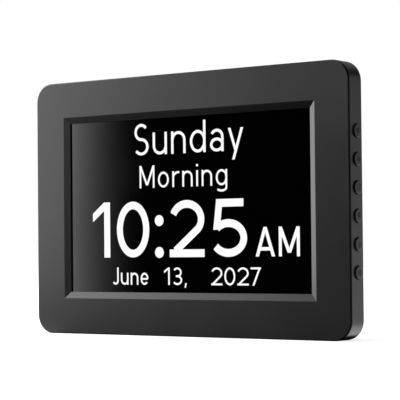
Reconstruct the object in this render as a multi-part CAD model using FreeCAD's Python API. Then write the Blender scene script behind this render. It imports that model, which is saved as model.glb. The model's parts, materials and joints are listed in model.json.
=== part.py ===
import FreeCAD, Part
import math
import os

# A day clock: a slim upright display clock with a bevelled front frame, a side band with six
# push buttons, a raised rear cover and a screw-in peg stand.
# Millimetres. x runs to the right seen from the front, y runs from the face plane to the rear,
# z runs up from the table. save() centres the finished pieces on y.

V = FreeCAD.Vector
PARTS = "parts"
PAST = 1.0                      # how far a cutting tool runs past the face that it opens
SAME = 1e-4                     # two places closer than this are the same place

# Casing
WIDTH = 200.0
HEIGHT = 136.0
CORNER_RADIUS = 10.0
FACE_RIM = 0.7                  # thickness of the face plate at its edge
FACE_CHAMFER = 0.6
GROOVE_WIDTH = 0.15             # shadow gap between face plate and side band
GROOVE_DEPTH = 1.2
FRAME_STEP = 1.1                # the frame reaches this far into the side band behind the gap
WALL = 2.0
REAR_WALL = 1.6
BAND_FRONT_EASE = 0.2
BAND_REAR_EASE = 0.5
LIP_WALL = 1.2
LIP_HEIGHT = 2.0
LIP_CLEARANCE = 0.1

# Window in the face
SIDE_MARGIN = 23.0              # face beyond the visible screen, left and right
END_MARGIN = 22.5               # face beyond the visible screen, top and bottom
BEVEL_WIDTH = 3.4
BEVEL_DEPTH = 1.4
WINDOW_EASE = 0.1               # the bevel's outer edge is broken this far into the face

# Raised rear cover
COVER_SETBACK = 14.0            # cover's sides inside the side band, all round
COVER_GAP = 0.1                 # tallest part on the board to the inside of the cover
COVER_CORNER = 8.0
COVER_EASE = 1.8
LEDGE = 4.0                     # rear wall left inside the cover's walls
PAD = 9.0                       # corner pads that carry the cover's bosses
COVER_BOSS_INSET = 9.5
COVER_BOSS_RADIUS = 3.0
COVER_BOSS_HEIGHT = 5.0
WELL_RADIUS = 4.4
WELL_BORE = 3.0
WELL_FLOOR = 1.4

# Wall hooks, vents, grille and label recess in the cover
KEYHOLE_SPACING = 80.0
KEYHOLE_ABOVE_MIDDLE = 28.0
KEYHOLE_ENTRY = 4.5
KEYHOLE_SLOT = 2.2
KEYHOLE_TRAVEL = 8.0
VENT_COUNT = 8
VENT_PITCH = 5.0
VENT_WIDTH = 2.0
VENT_HEIGHT = 10.0
VENT_BELOW_TOP = 13.0           # middle of the vents below the cover's top
GRILLE_RINGS = 3
GRILLE_STEP = 3.3
GRILLE_HOLE = 0.8
LABEL_WIDTH = 46.0
LABEL_HEIGHT = 22.0
LABEL_DEPTH = 0.3
LABEL_IN = 40.0                 # middle of the recess from the cover's side
LABEL_BELOW_MIDDLE = 12.0

# Screws: shank radius, head radius, head height
PILOT_CLEARANCE = 0.05
HOLE_CLEARANCE = 0.25
HEAD_CLEARANCE = 0.3
CASE_SHANK = 1.25
CASE_HEAD = 2.4
CASE_HEAD_HEIGHT = 1.4
CASE_SCREW_LENGTH = 7.5
CASE_BOSS_RADIUS = 2.8
CASE_BOSS_INSET = 10.0
CASE_RECESS = 0.6
COVER_SCREW_LENGTH = 6.0
SMALL_SHANK = 1.0
SMALL_HEAD = 1.9
SMALL_HEAD_HEIGHT = 1.2
SMALL_SCREW_LENGTH = 4.5
CROSS_WIDTH = 0.5
CROSS_DEPTH = 0.7

# Display module, from front to rear
GASKET = 0.3
GASKET_SETBACK = 0.5
GLASS = 1.4
GLASS_MARGIN = 2.2              # glass beyond the window on each side
PANEL_CLEARANCE = 0.2
MODULE_RIM = 2.6
SHELF = 0.5
FILM = 0.5
LIGHT_GUIDE = 2.25
REFLECTOR = 0.2
LED_STRIP = 0.6
LED_SIZE = 0.9
LED_WIDTH = 3.0
LED_COUNT = 16
LED_STRIP_END = 5.6             # strip shorter than the glass at each end
TRAY_SHEET = 0.6
TRAY_WALL = 0.5
TRAY_LIP_SETBACK = 0.5          # the tray's edge stands this far behind the glass
RAIL = 1.5
RAIL_CLEARANCE = 0.3
RAIL_LENGTH = 30.0
RAIL_IN = 37.5                  # middle of a rail from the module's side

# Chassis plate and main board
FOAM = 1.0
FOAM_WIDTH = 40.0
FOAM_HEIGHT = 8.0
FOAM_IN = 24.5                  # middle of a pad from the tray's side
FOAM_UP = 15.7                  # middle of a pad from the tray's end
CHASSIS_SHEET = 0.8
CHASSIS_CLEARANCE = 0.5
CHASSIS_GAP = 0.9               # chassis plate to the housing's rear wall
CHASSIS_TRIM = 2.7              # chassis shorter than the tray, top and bottom
EAR_STEP = 1.2                  # joggle of the ears towards the front
EAR_LENGTH = 5.0
EAR_HEIGHT = 10.0
EAR_UP = 18.7                   # middle of an ear from the tray's end
CHASSIS_BOSS_RADIUS = 2.4
CHASSIS_BOSS_OUT = 3.4          # boss axis beyond the tray's side
FLEX_SLOT_HEIGHT = 9.0
LIGHTENING_HOLE = 11.0
LIGHTENING_IN = 38.5            # middle of a hole from the tray's side
STANDOFF_HEIGHT = 4.0
STANDOFF_RADIUS = 2.4
BOARD = 1.6
BOARD_SETBACK = 19.0            # board's ends inside the cover's
BOARD_ABOVE_MIDDLE = 1.0
BOARD_GAP = 0.6                 # board's edge to the cover's wall, at the socket
BOARD_SPEAKER_GAP = 9.0
BOARD_HOLE_IN = 7.0
BOARD_HOLE_UP = 4.0

# Parts on the board. Places are x from the board's left edge and z from its middle, unless said
CHIP_PLACE = (60.0, -5.0)
CHIP_SIZE = (14.0, 14.0, 1.2)
MEMORY_PLACES = ((45.4, -10.0), (45.4, 6.0))
MEMORY_SIZE = (8.0, 12.0, 1.0)
INDUCTOR_PLACE = (21.4, 1.0)
INDUCTOR_SIZE = (7.0, 7.0, 3.2)
CAPACITOR_PLACES = ((21.4, 12.0), (28.4, 12.0), (21.4, 20.0))      # z down from the board's top
CAPACITOR_RADIUS = 2.5
CAPACITOR_HEIGHT = 5.2
CRYSTAL_PLACE = (85.4, 9.0)
CRYSTAL_RADIUS = 1.0
CRYSTAL_LENGTH = 6.0
CELL_IN = 20.0                  # cell's middle from the board's right edge
CELL_UP = 20.0                  # cell's middle from the board's lower edge
CELL_RADIUS = 10.0
CELL_THICKNESS = 3.2
CELL_CLEARANCE = 0.15
HOLDER_WALL = 1.2
HOLDER_FLOOR = 0.6
HOLDER_HEIGHT = 2.2
CLIP = 0.3
CLIP_WIDTH = 3.0
CONNECTOR_HEIGHT = 2.2
CONNECTOR_END = 1.0             # connector beyond its cable on each side

# Power socket
SOCKET_UP = 16.0                # socket's axis above the board's lower edge
SOCKET_LENGTH = 10.8
SOCKET_WIDTH = 7.2
SOCKET_HEIGHT = 5.4
NOSE_RADIUS = 2.9
SOCKET_BORE = 1.9
SOCKET_BORE_DEPTH = 9.0
SOCKET_PIN = 0.65
SOCKET_PIN_SETBACK = 0.8

# Speaker
SPEAKER_IN = 26.0               # speaker's middle from the cover's side
SPEAKER_ABOVE_MIDDLE = 22.0
SPEAKER_RADIUS = 15.0
SPEAKER_RIM = 2.0
SPEAKER_FLANGE = 1.0
SPEAKER_DEPTH = 2.8
SPEAKER_SHEET = 0.8
MAGNET_RADIUS = 8.0
MAGNET_HEIGHT = 2.2
CONE_SHEET = 0.4
CONE_NECK = 4.0
TERMINAL = 5.0
TERMINAL_OUT = 2.0
TERMINAL_GAP = 0.3
WIRE_RADIUS = 0.45
WIRE_SPACING = 1.6

# Ribbon cables
RIBBON = 0.25
RIBBON_BEND = 0.7
LCD_RIBBON_WIDTH = 28.0
LCD_RIBBON_X = -19.0
KEY_RIBBON_WIDTH = 8.0

# Buttons and their switches
BUTTONS = ("previous", "next", "select", "up", "down", "power")
BUTTON_PITCH = 13.7
BUTTON_DROP = 0.85              # column's middle below the casing's
BUTTON_RADIUS = 3.3
BUTTON_CLEARANCE = 0.3
BUTTON_PROUD = 0.85
BUTTON_EASE = 0.3
BUTTON_TRAVEL = 0.5
LUG = 0.8
LUG_GAP = 0.2
LUG_REACH = 1.3
LUG_WIDTH = 3.0
SWITCH_SIZE = 5.2
SWITCH_HEIGHT = 3.5
PLUNGER_RADIUS = 1.6
PLUNGER_OUT = 1.5
PLUNGER_IN = 1.2
PLUNGER_CLEARANCE = 0.08
KEY_BOARD = 1.2
KEY_BOARD_WIDTH = 6.0
KEY_GAP = 0.5                   # key board to the housing's rear wall
KEY_BOARD_END = 11.5            # board beyond the outermost buttons
KEY_POST = 6.0
KEY_CONNECTOR = 1.8

# Peg stand
STAND_ANGLE = 45.0              # peg from the vertical
FAIRING_RISE = 12.0
FAIRING_RIDGE = 50.0            # height of the fairing's ridge above the table
FAIRING_TOP = 82.0
FAIRING_WIDTH = 22.0
FAIRING_EASE = 1.5
INSERT_RADIUS = 3.2
INSERT_LENGTH = 7.0
INSERT_BOSS_WALL = 1.8
THREAD_RADIUS = 2.45
THREAD_CLEARANCE = 0.05
THREAD_LENGTH = 6.0
PEG_RADIUS = 3.6
PEG_END_RADIUS = 3.0
COLLAR_RADIUS = 4.6
COLLAR = 2.4
FOOT_RADIUS = 5.5
FOOT_LENGTH = 9.0
FOOT_GRIP = 6.0

# Planes and places that follow from the sizes
CASE_SCREW = (CASE_SHANK, CASE_HEAD, CASE_HEAD_HEIGHT)
SMALL_SCREW = (SMALL_SHANK, SMALL_HEAD, SMALL_HEAD_HEIGHT)
MIDDLE = HEIGHT / 2
WINDOW_WIDTH = WIDTH - 2 * SIDE_MARGIN
WINDOW_HEIGHT = HEIGHT - 2 * END_MARGIN
COVER_WIDTH = WIDTH - 2 * COVER_SETBACK
COVER_HEIGHT = HEIGHT - 2 * COVER_SETBACK
HOUSING_FRONT = FACE_RIM + GROOVE_WIDTH
FRAME_REAR = HOUSING_FRONT + FRAME_STEP
GLASS_FRONT = FRAME_REAR + GASKET
GLASS_REAR = GLASS_FRONT + GLASS
SHELF_REAR = GLASS_REAR + SHELF
FILM_REAR = SHELF_REAR + FILM
GUIDE_REAR = FILM_REAR + LIGHT_GUIDE
MODULE_REAR = GUIDE_REAR + REFLECTOR
TRAY_REAR = MODULE_REAR + TRAY_SHEET
CHASSIS_FRONT = TRAY_REAR + FOAM
CHASSIS_REAR = CHASSIS_FRONT + CHASSIS_SHEET
EAR_FRONT = CHASSIS_FRONT - EAR_STEP
REAR_WALL_FRONT = CHASSIS_REAR + CHASSIS_GAP
SLIM_DEPTH = REAR_WALL_FRONT + REAR_WALL        # face to the rear of the side band
BOARD_FRONT = CHASSIS_REAR + STANDOFF_HEIGHT
BOARD_REAR = BOARD_FRONT + BOARD
TALLEST = max(SOCKET_HEIGHT, 2 * NOSE_RADIUS, CAPACITOR_HEIGHT)
COVER_INSIDE = BOARD_REAR + TALLEST + COVER_GAP
COVER_REAR = COVER_INSIDE + WALL
THROUGH_COVER = (COVER_INSIDE - PAST, COVER_REAR + PAST)
GLASS_WIDTH = WINDOW_WIDTH + 2 * GLASS_MARGIN
GLASS_HEIGHT = WINDOW_HEIGHT + 2 * GLASS_MARGIN
POCKET_WIDTH = GLASS_WIDTH + 2 * PANEL_CLEARANCE
POCKET_HEIGHT = GLASS_HEIGHT + 2 * PANEL_CLEARANCE
MODULE_WIDTH = POCKET_WIDTH + 2 * MODULE_RIM
MODULE_HEIGHT = POCKET_HEIGHT + 2 * MODULE_RIM
TRAY_WIDTH = MODULE_WIDTH + 2 * TRAY_WALL
TRAY_HEIGHT = MODULE_HEIGHT + 2 * TRAY_WALL
CHASSIS_SIDE = TRAY_WIDTH / 2 + CHASSIS_CLEARANCE
CHASSIS_BOSS_X = TRAY_WIDTH / 2 + CHASSIS_BOSS_OUT
GUIDE_BOTTOM = MIDDLE - POCKET_HEIGHT / 2 + LED_STRIP + LED_SIZE
OPENING_WIDTH = COVER_WIDTH - 2 * WALL - 2 * LEDGE
OPENING_HEIGHT = COVER_HEIGHT - 2 * WALL - 2 * LEDGE
COVER_BOSS_X = COVER_WIDTH / 2 - COVER_BOSS_INSET
COVER_BOSS_Z = COVER_HEIGHT / 2 - COVER_BOSS_INSET
COVER_BOSS_REAR = SLIM_DEPTH + COVER_BOSS_HEIGHT
WELL_SEAT = COVER_BOSS_REAR + WELL_FLOOR
CASE_SEAT = SLIM_DEPTH - CASE_RECESS
BOARD_LEFT = BOARD_GAP + WALL - COVER_WIDTH / 2
SPEAKER_X = COVER_WIDTH / 2 - SPEAKER_IN
BOARD_RIGHT = SPEAKER_X - SPEAKER_RADIUS - BOARD_SPEAKER_GAP
BOARD_HEIGHT = COVER_HEIGHT - 2 * BOARD_SETBACK
BOARD_MIDDLE = MIDDLE + BOARD_ABOVE_MIDDLE
BOARD_BOTTOM = BOARD_MIDDLE - BOARD_HEIGHT / 2
CELL_X = BOARD_RIGHT - CELL_IN
CELL_Z = BOARD_BOTTOM + CELL_UP
SOCKET_AXIS_Y = BOARD_REAR + NOSE_RADIUS
SOCKET_AXIS_Z = BOARD_BOTTOM + SOCKET_UP
SPEAKER_Z = MIDDLE + SPEAKER_ABOVE_MIDDLE
WALL_INSIDE = WIDTH / 2 - WALL
BUTTON_DEPTH = REAR_WALL_FRONT - KEY_GAP - KEY_BOARD_WIDTH / 2  # face plane to the buttons' axes
LUG_OUTER = WALL_INSIDE - LUG_GAP
CAP_INNER = LUG_OUTER - LUG
SWITCH_TOP = CAP_INNER - PLUNGER_OUT
SWITCH_BASE = SWITCH_TOP - SWITCH_HEIGHT
KEY_BOARD_INNER = SWITCH_BASE - KEY_BOARD
BUTTON_SPAN = BUTTON_PITCH * (len(BUTTONS) - 1)
COLUMN_MIDDLE = MIDDLE - BUTTON_DROP
KEY_BOARD_HALF = BUTTON_SPAN / 2 + KEY_BOARD_END
KEY_POST_Z = KEY_BOARD_HALF - KEY_POST / 2

# Peg line: out of the fairing's lower face, down to the centre of the foot's round end
LEAN = math.radians(STAND_ANGLE)
PEG_WAY = V(0, math.sin(LEAN), -math.cos(LEAN))
RIDGE = V(0, COVER_REAR + FAIRING_RISE, FAIRING_RIDGE)
FAIRING_HEEL = V(0, COVER_REAR, FAIRING_RIDGE - FAIRING_RISE * math.tan(LEAN))
PEG_SEAT = (RIDGE + FAIRING_HEEL) * 0.5
PEG_LENGTH = (PEG_SEAT.z - FOOT_RADIUS) / math.cos(LEAN)
FOOT_CENTRE = PEG_SEAT + PEG_WAY * PEG_LENGTH
TOTAL_DEPTH = FOOT_CENTRE.y + FOOT_RADIUS


def box(x0, x1, y0, y1, z0, z1):
    return Part.makeBox(x1 - x0, y1 - y0, z1 - z0, V(x0, y0, z0))


def block(x, z, width, height, y0, y1):
    """A block centred on x, z that reaches from y0 to y1."""
    return box(x - width / 2, x + width / 2, y0, y1, z - height / 2, z + height / 2)


def rod_y(x, z, radius, y0, y1):
    return Part.makeCylinder(radius, y1 - y0, V(x, y0, z), V(0, 1, 0))


def rod_x(y, z, radius, x0, x1):
    return Part.makeCylinder(radius, x1 - x0, V(x0, y, z), V(1, 0, 0))


def rounded_block(width, height, radius, y0, y1, z=MIDDLE):
    """A block with four rounded corners, centred on x = 0 and on z."""
    plain = block(0, z, width, height, y0, y1)
    corners = [e for e in plain.Edges if abs(e.BoundBox.YLength - (y1 - y0)) < SAME]
    return plain.makeFillet(radius, corners)


def rim(shape, y):
    """The edges that lie in the plane at y."""
    flat = [e for e in shape.Edges if e.BoundBox.YLength < SAME]
    return [e for e in flat if abs(e.BoundBox.YMin - y) < SAME]


def pocket(width, height, y0, y1):
    """A square-cornered cutting block behind the window's middle."""
    return block(0, MIDDLE, width, height, y0, y1)


def corners_of(x, z):
    return [(sx * x, MIDDLE + sz * z) for sx in (-1, 1) for sz in (-1, 1)]


def screw(shank, head, head_height, length):
    """A round-headed cross-recess screw: seat at the origin, shank towards -y."""
    tip = shank * 0.6
    body = Part.makeCylinder(shank, length - tip, V(0, tip - length, 0), V(0, 1, 0))
    point = Part.makeCone(shank * 0.4, shank, tip, V(0, -length, 0), V(0, 1, 0))
    top = Part.makeCylinder(head, head_height, V(0, 0, 0), V(0, 1, 0))
    top = top.makeFillet(head_height * 0.45, rim(top, head_height))
    reach = head * 0.55
    half = CROSS_WIDTH / 2
    slot = box(-reach, reach, head_height - CROSS_DEPTH, head_height + PAST, -half, half)
    cross = slot.fuse(slot.rotated(V(0, 0, 0), V(0, 1, 0), 90))
    return body.fuse([point, top]).removeSplitter().cut(cross)


def screws_at(places, y, shank, head, head_height, length):
    first = screw(shank, head, head_height, length)
    return [first.translated(V(x, y, z)) for x, z in places]


def rounded_path(points, radius):
    """A wire through the points, with an arc of the radius at each inner corner."""
    edges = []
    start = points[0]
    for before, corner, after in zip(points, points[1:], points[2:]):
        way_in = (corner - before).normalize()
        way_out = (after - corner).normalize()
        half = way_in.getAngle(way_out) / 2
        cut_back = radius * math.tan(half)
        bend_start = corner - way_in * cut_back
        bend_end = corner + way_out * cut_back
        inward = (way_out - way_in).normalize()
        centre = corner + inward * (radius / math.cos(half))
        edges.append(Part.LineSegment(start, bend_start).toShape())
        edges.append(Part.Arc(bend_start, centre - inward * radius, bend_end).toShape())
        start = bend_end
    edges.append(Part.LineSegment(start, points[-1]).toShape())
    return Part.Wire(edges)


def ribbon(points, width_way):
    """A flat cable that follows the points, as wide as the vector width_way."""
    middle = rounded_path(points, RIBBON_BEND)
    outline = middle.makeOffset2D(RIBBON / 2, join=0, fill=False, openResult=False)
    return Part.Face(outline).extrude(width_way)


def wire(points):
    path = rounded_path(points, WIRE_RADIUS * 3)
    way = points[1] - points[0]
    ring = Part.Wire([Part.makeCircle(WIRE_RADIUS, points[0], way)])
    return path.makePipeShell([ring], True, False)


def case_screw_places():
    side = WIDTH / 2 - CASE_BOSS_INSET
    up = HEIGHT / 2 - CASE_BOSS_INSET
    return corners_of(side, up) + [(0.0, MIDDLE - up), (0.0, MIDDLE + up)]


def chassis_screw_places():
    return corners_of(CHASSIS_BOSS_X, TRAY_HEIGHT / 2 - EAR_UP)


def board_screw_places():
    left = BOARD_LEFT + BOARD_HOLE_IN
    right = BOARD_RIGHT - BOARD_HOLE_UP
    up = BOARD_HEIGHT / 2 - BOARD_HOLE_UP
    return [(x, BOARD_MIDDLE + z) for x in (left, right) for z in (-up, up)]


def button_heights():
    """Heights of the button axes, from the top one down."""
    return [COLUMN_MIDDLE + BUTTON_SPAN / 2 - BUTTON_PITCH * i for i in range(len(BUTTONS))]


def key_screw_heights():
    return (COLUMN_MIDDLE - KEY_POST_Z, COLUMN_MIDDLE + KEY_POST_Z)


# ---------------------------------------------------------------- casing

def frustum(border, slope):
    """A cutting block that narrows from a border round the screen, at the face, to the screen."""
    wires = []
    for y, out in ((-PAST, border + PAST / slope), (border * slope, 0.0)):
        x = WINDOW_WIDTH / 2 + out
        z = WINDOW_HEIGHT / 2 + out
        low = MIDDLE - z
        high = MIDDLE + z
        ring = [V(-x, y, low), V(x, y, low), V(x, y, high), V(-x, y, high)]
        wires.append(Part.makePolygon(ring + ring[:1]))
    return Part.makeLoft(wires, True, True)


def window_cut():
    """The bevelled opening with its outer edge broken, then straight through."""
    slope = BEVEL_DEPTH / BEVEL_WIDTH
    bevel = frustum(BEVEL_WIDTH, slope)
    ease = frustum(BEVEL_WIDTH + WINDOW_EASE, slope / 2)
    straight = pocket(WINDOW_WIDTH, WINDOW_HEIGHT, BEVEL_DEPTH - PAST / 2, FRAME_REAR + PAST)
    return bevel.fuse([ease, straight])


def module_rails():
    """Short walls on the frame's rear face that hold the display module in place."""
    rear = TRAY_REAR
    out = TRAY_HEIGHT / 2 + RAIL_CLEARANCE + RAIL / 2
    places = corners_of(TRAY_WIDTH / 2 - RAIL_IN, out)
    rails = [block(x, z, RAIL_LENGTH, RAIL, FRAME_REAR, rear) for x, z in places]
    side = TRAY_WIDTH / 2 + RAIL_CLEARANCE + RAIL / 2
    rails += [block(x, MIDDLE, RAIL, RAIL_LENGTH, FRAME_REAR, EAR_FRONT) for x in (-side, side)]
    return rails


def inset_block(inset, y0, y1):
    """The casing's outline, smaller by the inset all round."""
    return rounded_block(WIDTH - 2 * inset, HEIGHT - 2 * inset, CORNER_RADIUS - inset, y0, y1)


def locating_lip():
    """A low wall that fits inside the housing, left out beside the key board."""
    inset = WALL + LIP_CLEARANCE
    rear = FRAME_REAR + LIP_HEIGHT
    ring = inset_block(inset, FRAME_REAR, rear)
    hollow = inset_block(inset + LIP_WALL, FRAME_REAR, rear + PAST)
    relief_height = 2 * (KEY_BOARD_HALF + LIP_WALL)
    relief_width = 2 * (inset + 2 * LIP_WALL)
    relief = block(WIDTH / 2, COLUMN_MIDDLE, relief_width, relief_height, FRAME_REAR, rear + PAST)
    return ring.cut([hollow, relief])


def front_frame():
    face = rounded_block(WIDTH, HEIGHT, CORNER_RADIUS, 0, FACE_RIM)
    face = face.makeChamfer(FACE_CHAMFER, rim(face, 0))
    neck = inset_block(GROOVE_DEPTH, FACE_RIM, HOUSING_FRONT)
    step = inset_block(WALL + LIP_CLEARANCE, HOUSING_FRONT, FRAME_REAR)
    case_pilot = CASE_SHANK + PILOT_CLEARANCE
    case_bottom = CASE_SEAT - CASE_SCREW_LENGTH - PILOT_CLEARANCE
    small_pilot = SMALL_SHANK + PILOT_CLEARANCE
    small_bottom = FRAME_REAR + PILOT_CLEARANCE
    bosses = []
    holes = []
    for x, z in case_screw_places():
        bosses.append(rod_y(x, z, CASE_BOSS_RADIUS, FRAME_REAR, REAR_WALL_FRONT))
        holes.append(rod_y(x, z, case_pilot, case_bottom, SLIM_DEPTH))
    for x, z in chassis_screw_places():
        bosses.append(rod_y(x, z, CHASSIS_BOSS_RADIUS, FRAME_REAR, EAR_FRONT))
        holes.append(rod_y(x, z, small_pilot, small_bottom, SLIM_DEPTH))
    solid = face.fuse([neck, step, locating_lip()] + bosses + module_rails())
    return solid.cut([window_cut()] + holes)


def key_posts():
    """Posts inside the right wall that carry the key board's two screws."""
    front = BUTTON_DEPTH - KEY_BOARD_WIDTH / 2
    rear = REAR_WALL_FRONT + REAR_WALL / 2
    side = WALL_INSIDE + WALL / 2
    half = KEY_POST / 2
    pilot = SMALL_SHANK + PILOT_CLEARANCE
    posts = []
    holes = []
    for z in key_screw_heights():
        posts.append(box(SWITCH_BASE, side, front, rear, z - half, z + half))
        holes.append(rod_x(BUTTON_DEPTH, z, pilot, SWITCH_BASE - PAST, SWITCH_BASE + SMALL_SCREW_LENGTH))
    return posts, holes


def main_housing():
    shell = rounded_block(WIDTH, HEIGHT, CORNER_RADIUS, HOUSING_FRONT, SLIM_DEPTH)
    shell = shell.makeFillet(BAND_FRONT_EASE, rim(shell, HOUSING_FRONT))
    shell = shell.makeFillet(BAND_REAR_EASE, rim(shell, SLIM_DEPTH))
    hollow = inset_block(WALL, HOUSING_FRONT - PAST, REAR_WALL_FRONT)
    y0 = REAR_WALL_FRONT - PAST
    y1 = SLIM_DEPTH + PAST
    opening = pocket(OPENING_WIDTH, OPENING_HEIGHT, y0, y1)
    corners = corners_of(OPENING_WIDTH / 2, OPENING_HEIGHT / 2)
    pads = [block(x, z, 2 * PAD, 2 * PAD, y0, y1) for x, z in corners]
    shell = shell.cut([hollow, opening.cut(pads)])
    places = corners_of(COVER_BOSS_X, COVER_BOSS_Z)
    bosses = [rod_y(x, z, COVER_BOSS_RADIUS, SLIM_DEPTH, COVER_BOSS_REAR) for x, z in places]
    posts, holes = key_posts()
    shell = shell.fuse(bosses + posts)
    pilot = CASE_SHANK + PILOT_CLEARANCE
    bottom = WELL_SEAT - COVER_SCREW_LENGTH - PILOT_CLEARANCE
    holes += [rod_y(x, z, pilot, bottom, COVER_REAR) for x, z in places]
    for x, z in case_screw_places():
        holes.append(rod_y(x, z, CASE_SHANK + HOLE_CLEARANCE, REAR_WALL_FRONT - PAST, SLIM_DEPTH))
        holes.append(rod_y(x, z, CASE_HEAD + HEAD_CLEARANCE, CASE_SEAT, SLIM_DEPTH + PAST))
    bore = BUTTON_RADIUS + BUTTON_CLEARANCE
    holes += [rod_x(BUTTON_DEPTH, z, bore, WALL_INSIDE - PAST, WIDTH / 2 + PAST) for z in button_heights()]
    return shell.cut(holes)


def fairing_profile():
    """The stand socket's fairing, seen from the side, with its root inside the cover."""
    top = V(0, COVER_REAR, FAIRING_TOP)
    root_top = V(0, SLIM_DEPTH, FAIRING_TOP)
    root_heel = V(0, SLIM_DEPTH, FAIRING_HEEL.z)
    return [root_top, top, RIDGE, FAIRING_HEEL, root_heel]


def prism(points, width):
    """The outline in the middle plane, as a solid of the width along x."""
    half = V(-width / 2, 0, 0)
    face = Part.Face(Part.makePolygon([p + half for p in points + points[:1]]))
    return face.extrude(V(width, 0, 0))


def peg_rod(radius, start, length):
    """A cylinder on the peg's line; start is measured outwards from the fairing's face."""
    return Part.makeCylinder(radius, length, PEG_SEAT + PEG_WAY * start, PEG_WAY)


def fairing_hollow():
    middle = Part.makePolygon(fairing_profile() + fairing_profile()[:1])
    inner = middle.makeOffset2D(-WALL, join=2)
    half = V(WALL - FAIRING_WIDTH / 2, 0, 0)
    face = Part.Face(inner.translated(half))
    return face.extrude(V(FAIRING_WIDTH - 2 * WALL, 0, 0))


def keyholes():
    """Two wall hooks: a round entry for the screw's head, and a slot above it for the shank."""
    cuts = []
    z = MIDDLE + KEYHOLE_ABOVE_MIDDLE
    width = 2 * KEYHOLE_SLOT
    for x in (-KEYHOLE_SPACING / 2, KEYHOLE_SPACING / 2):
        cuts.append(rod_y(x, z, KEYHOLE_ENTRY, *THROUGH_COVER))
        cuts.append(rod_y(x, z + KEYHOLE_TRAVEL, KEYHOLE_SLOT, *THROUGH_COVER))
        cuts.append(block(x, z + KEYHOLE_TRAVEL / 2, width, KEYHOLE_TRAVEL, *THROUGH_COVER))
    return cuts


def vents():
    cuts = []
    z = MIDDLE + COVER_HEIGHT / 2 - VENT_BELOW_TOP
    straight = VENT_HEIGHT - VENT_WIDTH
    for i in range(VENT_COUNT):
        x = (i - (VENT_COUNT - 1) / 2) * VENT_PITCH
        slot = block(x, z, VENT_WIDTH, straight, *THROUGH_COVER)
        ends = [rod_y(x, z + s * straight / 2, VENT_WIDTH / 2, *THROUGH_COVER) for s in (-1, 1)]
        cuts.append(slot.fuse(ends))
    return cuts


def grille():
    cuts = []
    for ring in range(GRILLE_RINGS + 1):
        count = max(1, 6 * ring)
        for i in range(count):
            turn = 2 * math.pi * i / count
            x = SPEAKER_X + ring * GRILLE_STEP * math.cos(turn)
            z = SPEAKER_Z + ring * GRILLE_STEP * math.sin(turn)
            cuts.append(rod_y(x, z, GRILLE_HOLE, *THROUGH_COVER))
    return cuts


def socket_hole():
    nose = NOSE_RADIUS + HEAD_CLEARANCE
    outside = -COVER_WIDTH / 2
    return rod_x(SOCKET_AXIS_Y, SOCKET_AXIS_Z, nose, outside - PAST, outside + WALL + PAST)


def label_recess():
    z = MIDDLE - LABEL_BELOW_MIDDLE
    floor = COVER_REAR - LABEL_DEPTH
    x = LABEL_IN - COVER_WIDTH / 2
    return block(x, z, LABEL_WIDTH, LABEL_HEIGHT, floor, COVER_REAR + PAST)


def back_cover():
    shell = rounded_block(COVER_WIDTH, COVER_HEIGHT, COVER_CORNER, SLIM_DEPTH, COVER_REAR)
    shell = shell.makeFillet(COVER_EASE, rim(shell, COVER_REAR))
    fairing = prism(fairing_profile(), FAIRING_WIDTH)
    eased = [e for e in fairing.Edges if e.BoundBox.YMax > COVER_REAR + FAIRING_RISE / 4]
    fairing = fairing.makeFillet(FAIRING_EASE, eased)
    outside = shell.fuse(fairing)
    width = COVER_WIDTH - 2 * WALL
    height = COVER_HEIGHT - 2 * WALL
    hollow = rounded_block(width, height, COVER_CORNER - WALL, SLIM_DEPTH - PAST, COVER_INSIDE)
    cover = outside.cut([hollow, fairing_hollow()])
    places = corners_of(COVER_BOSS_X, COVER_BOSS_Z)
    wells = [rod_y(x, z, WELL_RADIUS, COVER_BOSS_REAR, COVER_REAR) for x, z in places]
    boss_length = INSERT_LENGTH + WALL
    socket_boss = peg_rod(INSERT_RADIUS + INSERT_BOSS_WALL, -boss_length, boss_length)
    cover = cover.fuse(wells + [socket_boss])
    shank = CASE_SHANK + HOLE_CLEARANCE
    cuts = [rod_y(x, z, WELL_BORE, WELL_SEAT, COVER_REAR + PAST) for x, z in places]
    cuts += [rod_y(x, z, shank, COVER_BOSS_REAR - PAST, COVER_REAR) for x, z in places]
    cuts.append(peg_rod(INSERT_RADIUS, -INSERT_LENGTH, INSERT_LENGTH + PAST))
    cuts += [socket_hole(), label_recess()]
    return cover.cut(cuts + keyholes() + vents() + grille())


def housing_screws():
    return screws_at(case_screw_places(), CASE_SEAT, *CASE_SCREW, CASE_SCREW_LENGTH)


def back_cover_screws():
    places = corners_of(COVER_BOSS_X, COVER_BOSS_Z)
    return screws_at(places, WELL_SEAT, *CASE_SCREW, COVER_SCREW_LENGTH)


# ---------------------------------------------------------------- peg stand

def stand_insert():
    """Threaded brass sleeve pressed into the fairing."""
    sleeve = peg_rod(INSERT_RADIUS, -INSERT_LENGTH, INSERT_LENGTH)
    bore = THREAD_RADIUS + THREAD_CLEARANCE
    return sleeve.cut(peg_rod(bore, -INSERT_LENGTH - PAST, INSERT_LENGTH + 2 * PAST))


def stand_peg():
    thread = peg_rod(THREAD_RADIUS, -THREAD_LENGTH, THREAD_LENGTH)
    thread = thread.makeChamfer(THREAD_RADIUS / 4, [thread.Edges[-1]])
    collar = peg_rod(COLLAR_RADIUS, 0, COLLAR)
    taper_length = PEG_LENGTH - COLLAR - FOOT_GRIP
    taper = Part.makeCone(PEG_RADIUS, PEG_END_RADIUS, taper_length, PEG_SEAT + PEG_WAY * COLLAR, PEG_WAY)
    tip = peg_rod(PEG_END_RADIUS, PEG_LENGTH - FOOT_GRIP, FOOT_GRIP)
    return thread.fuse([collar, taper, tip]).removeSplitter()


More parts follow.
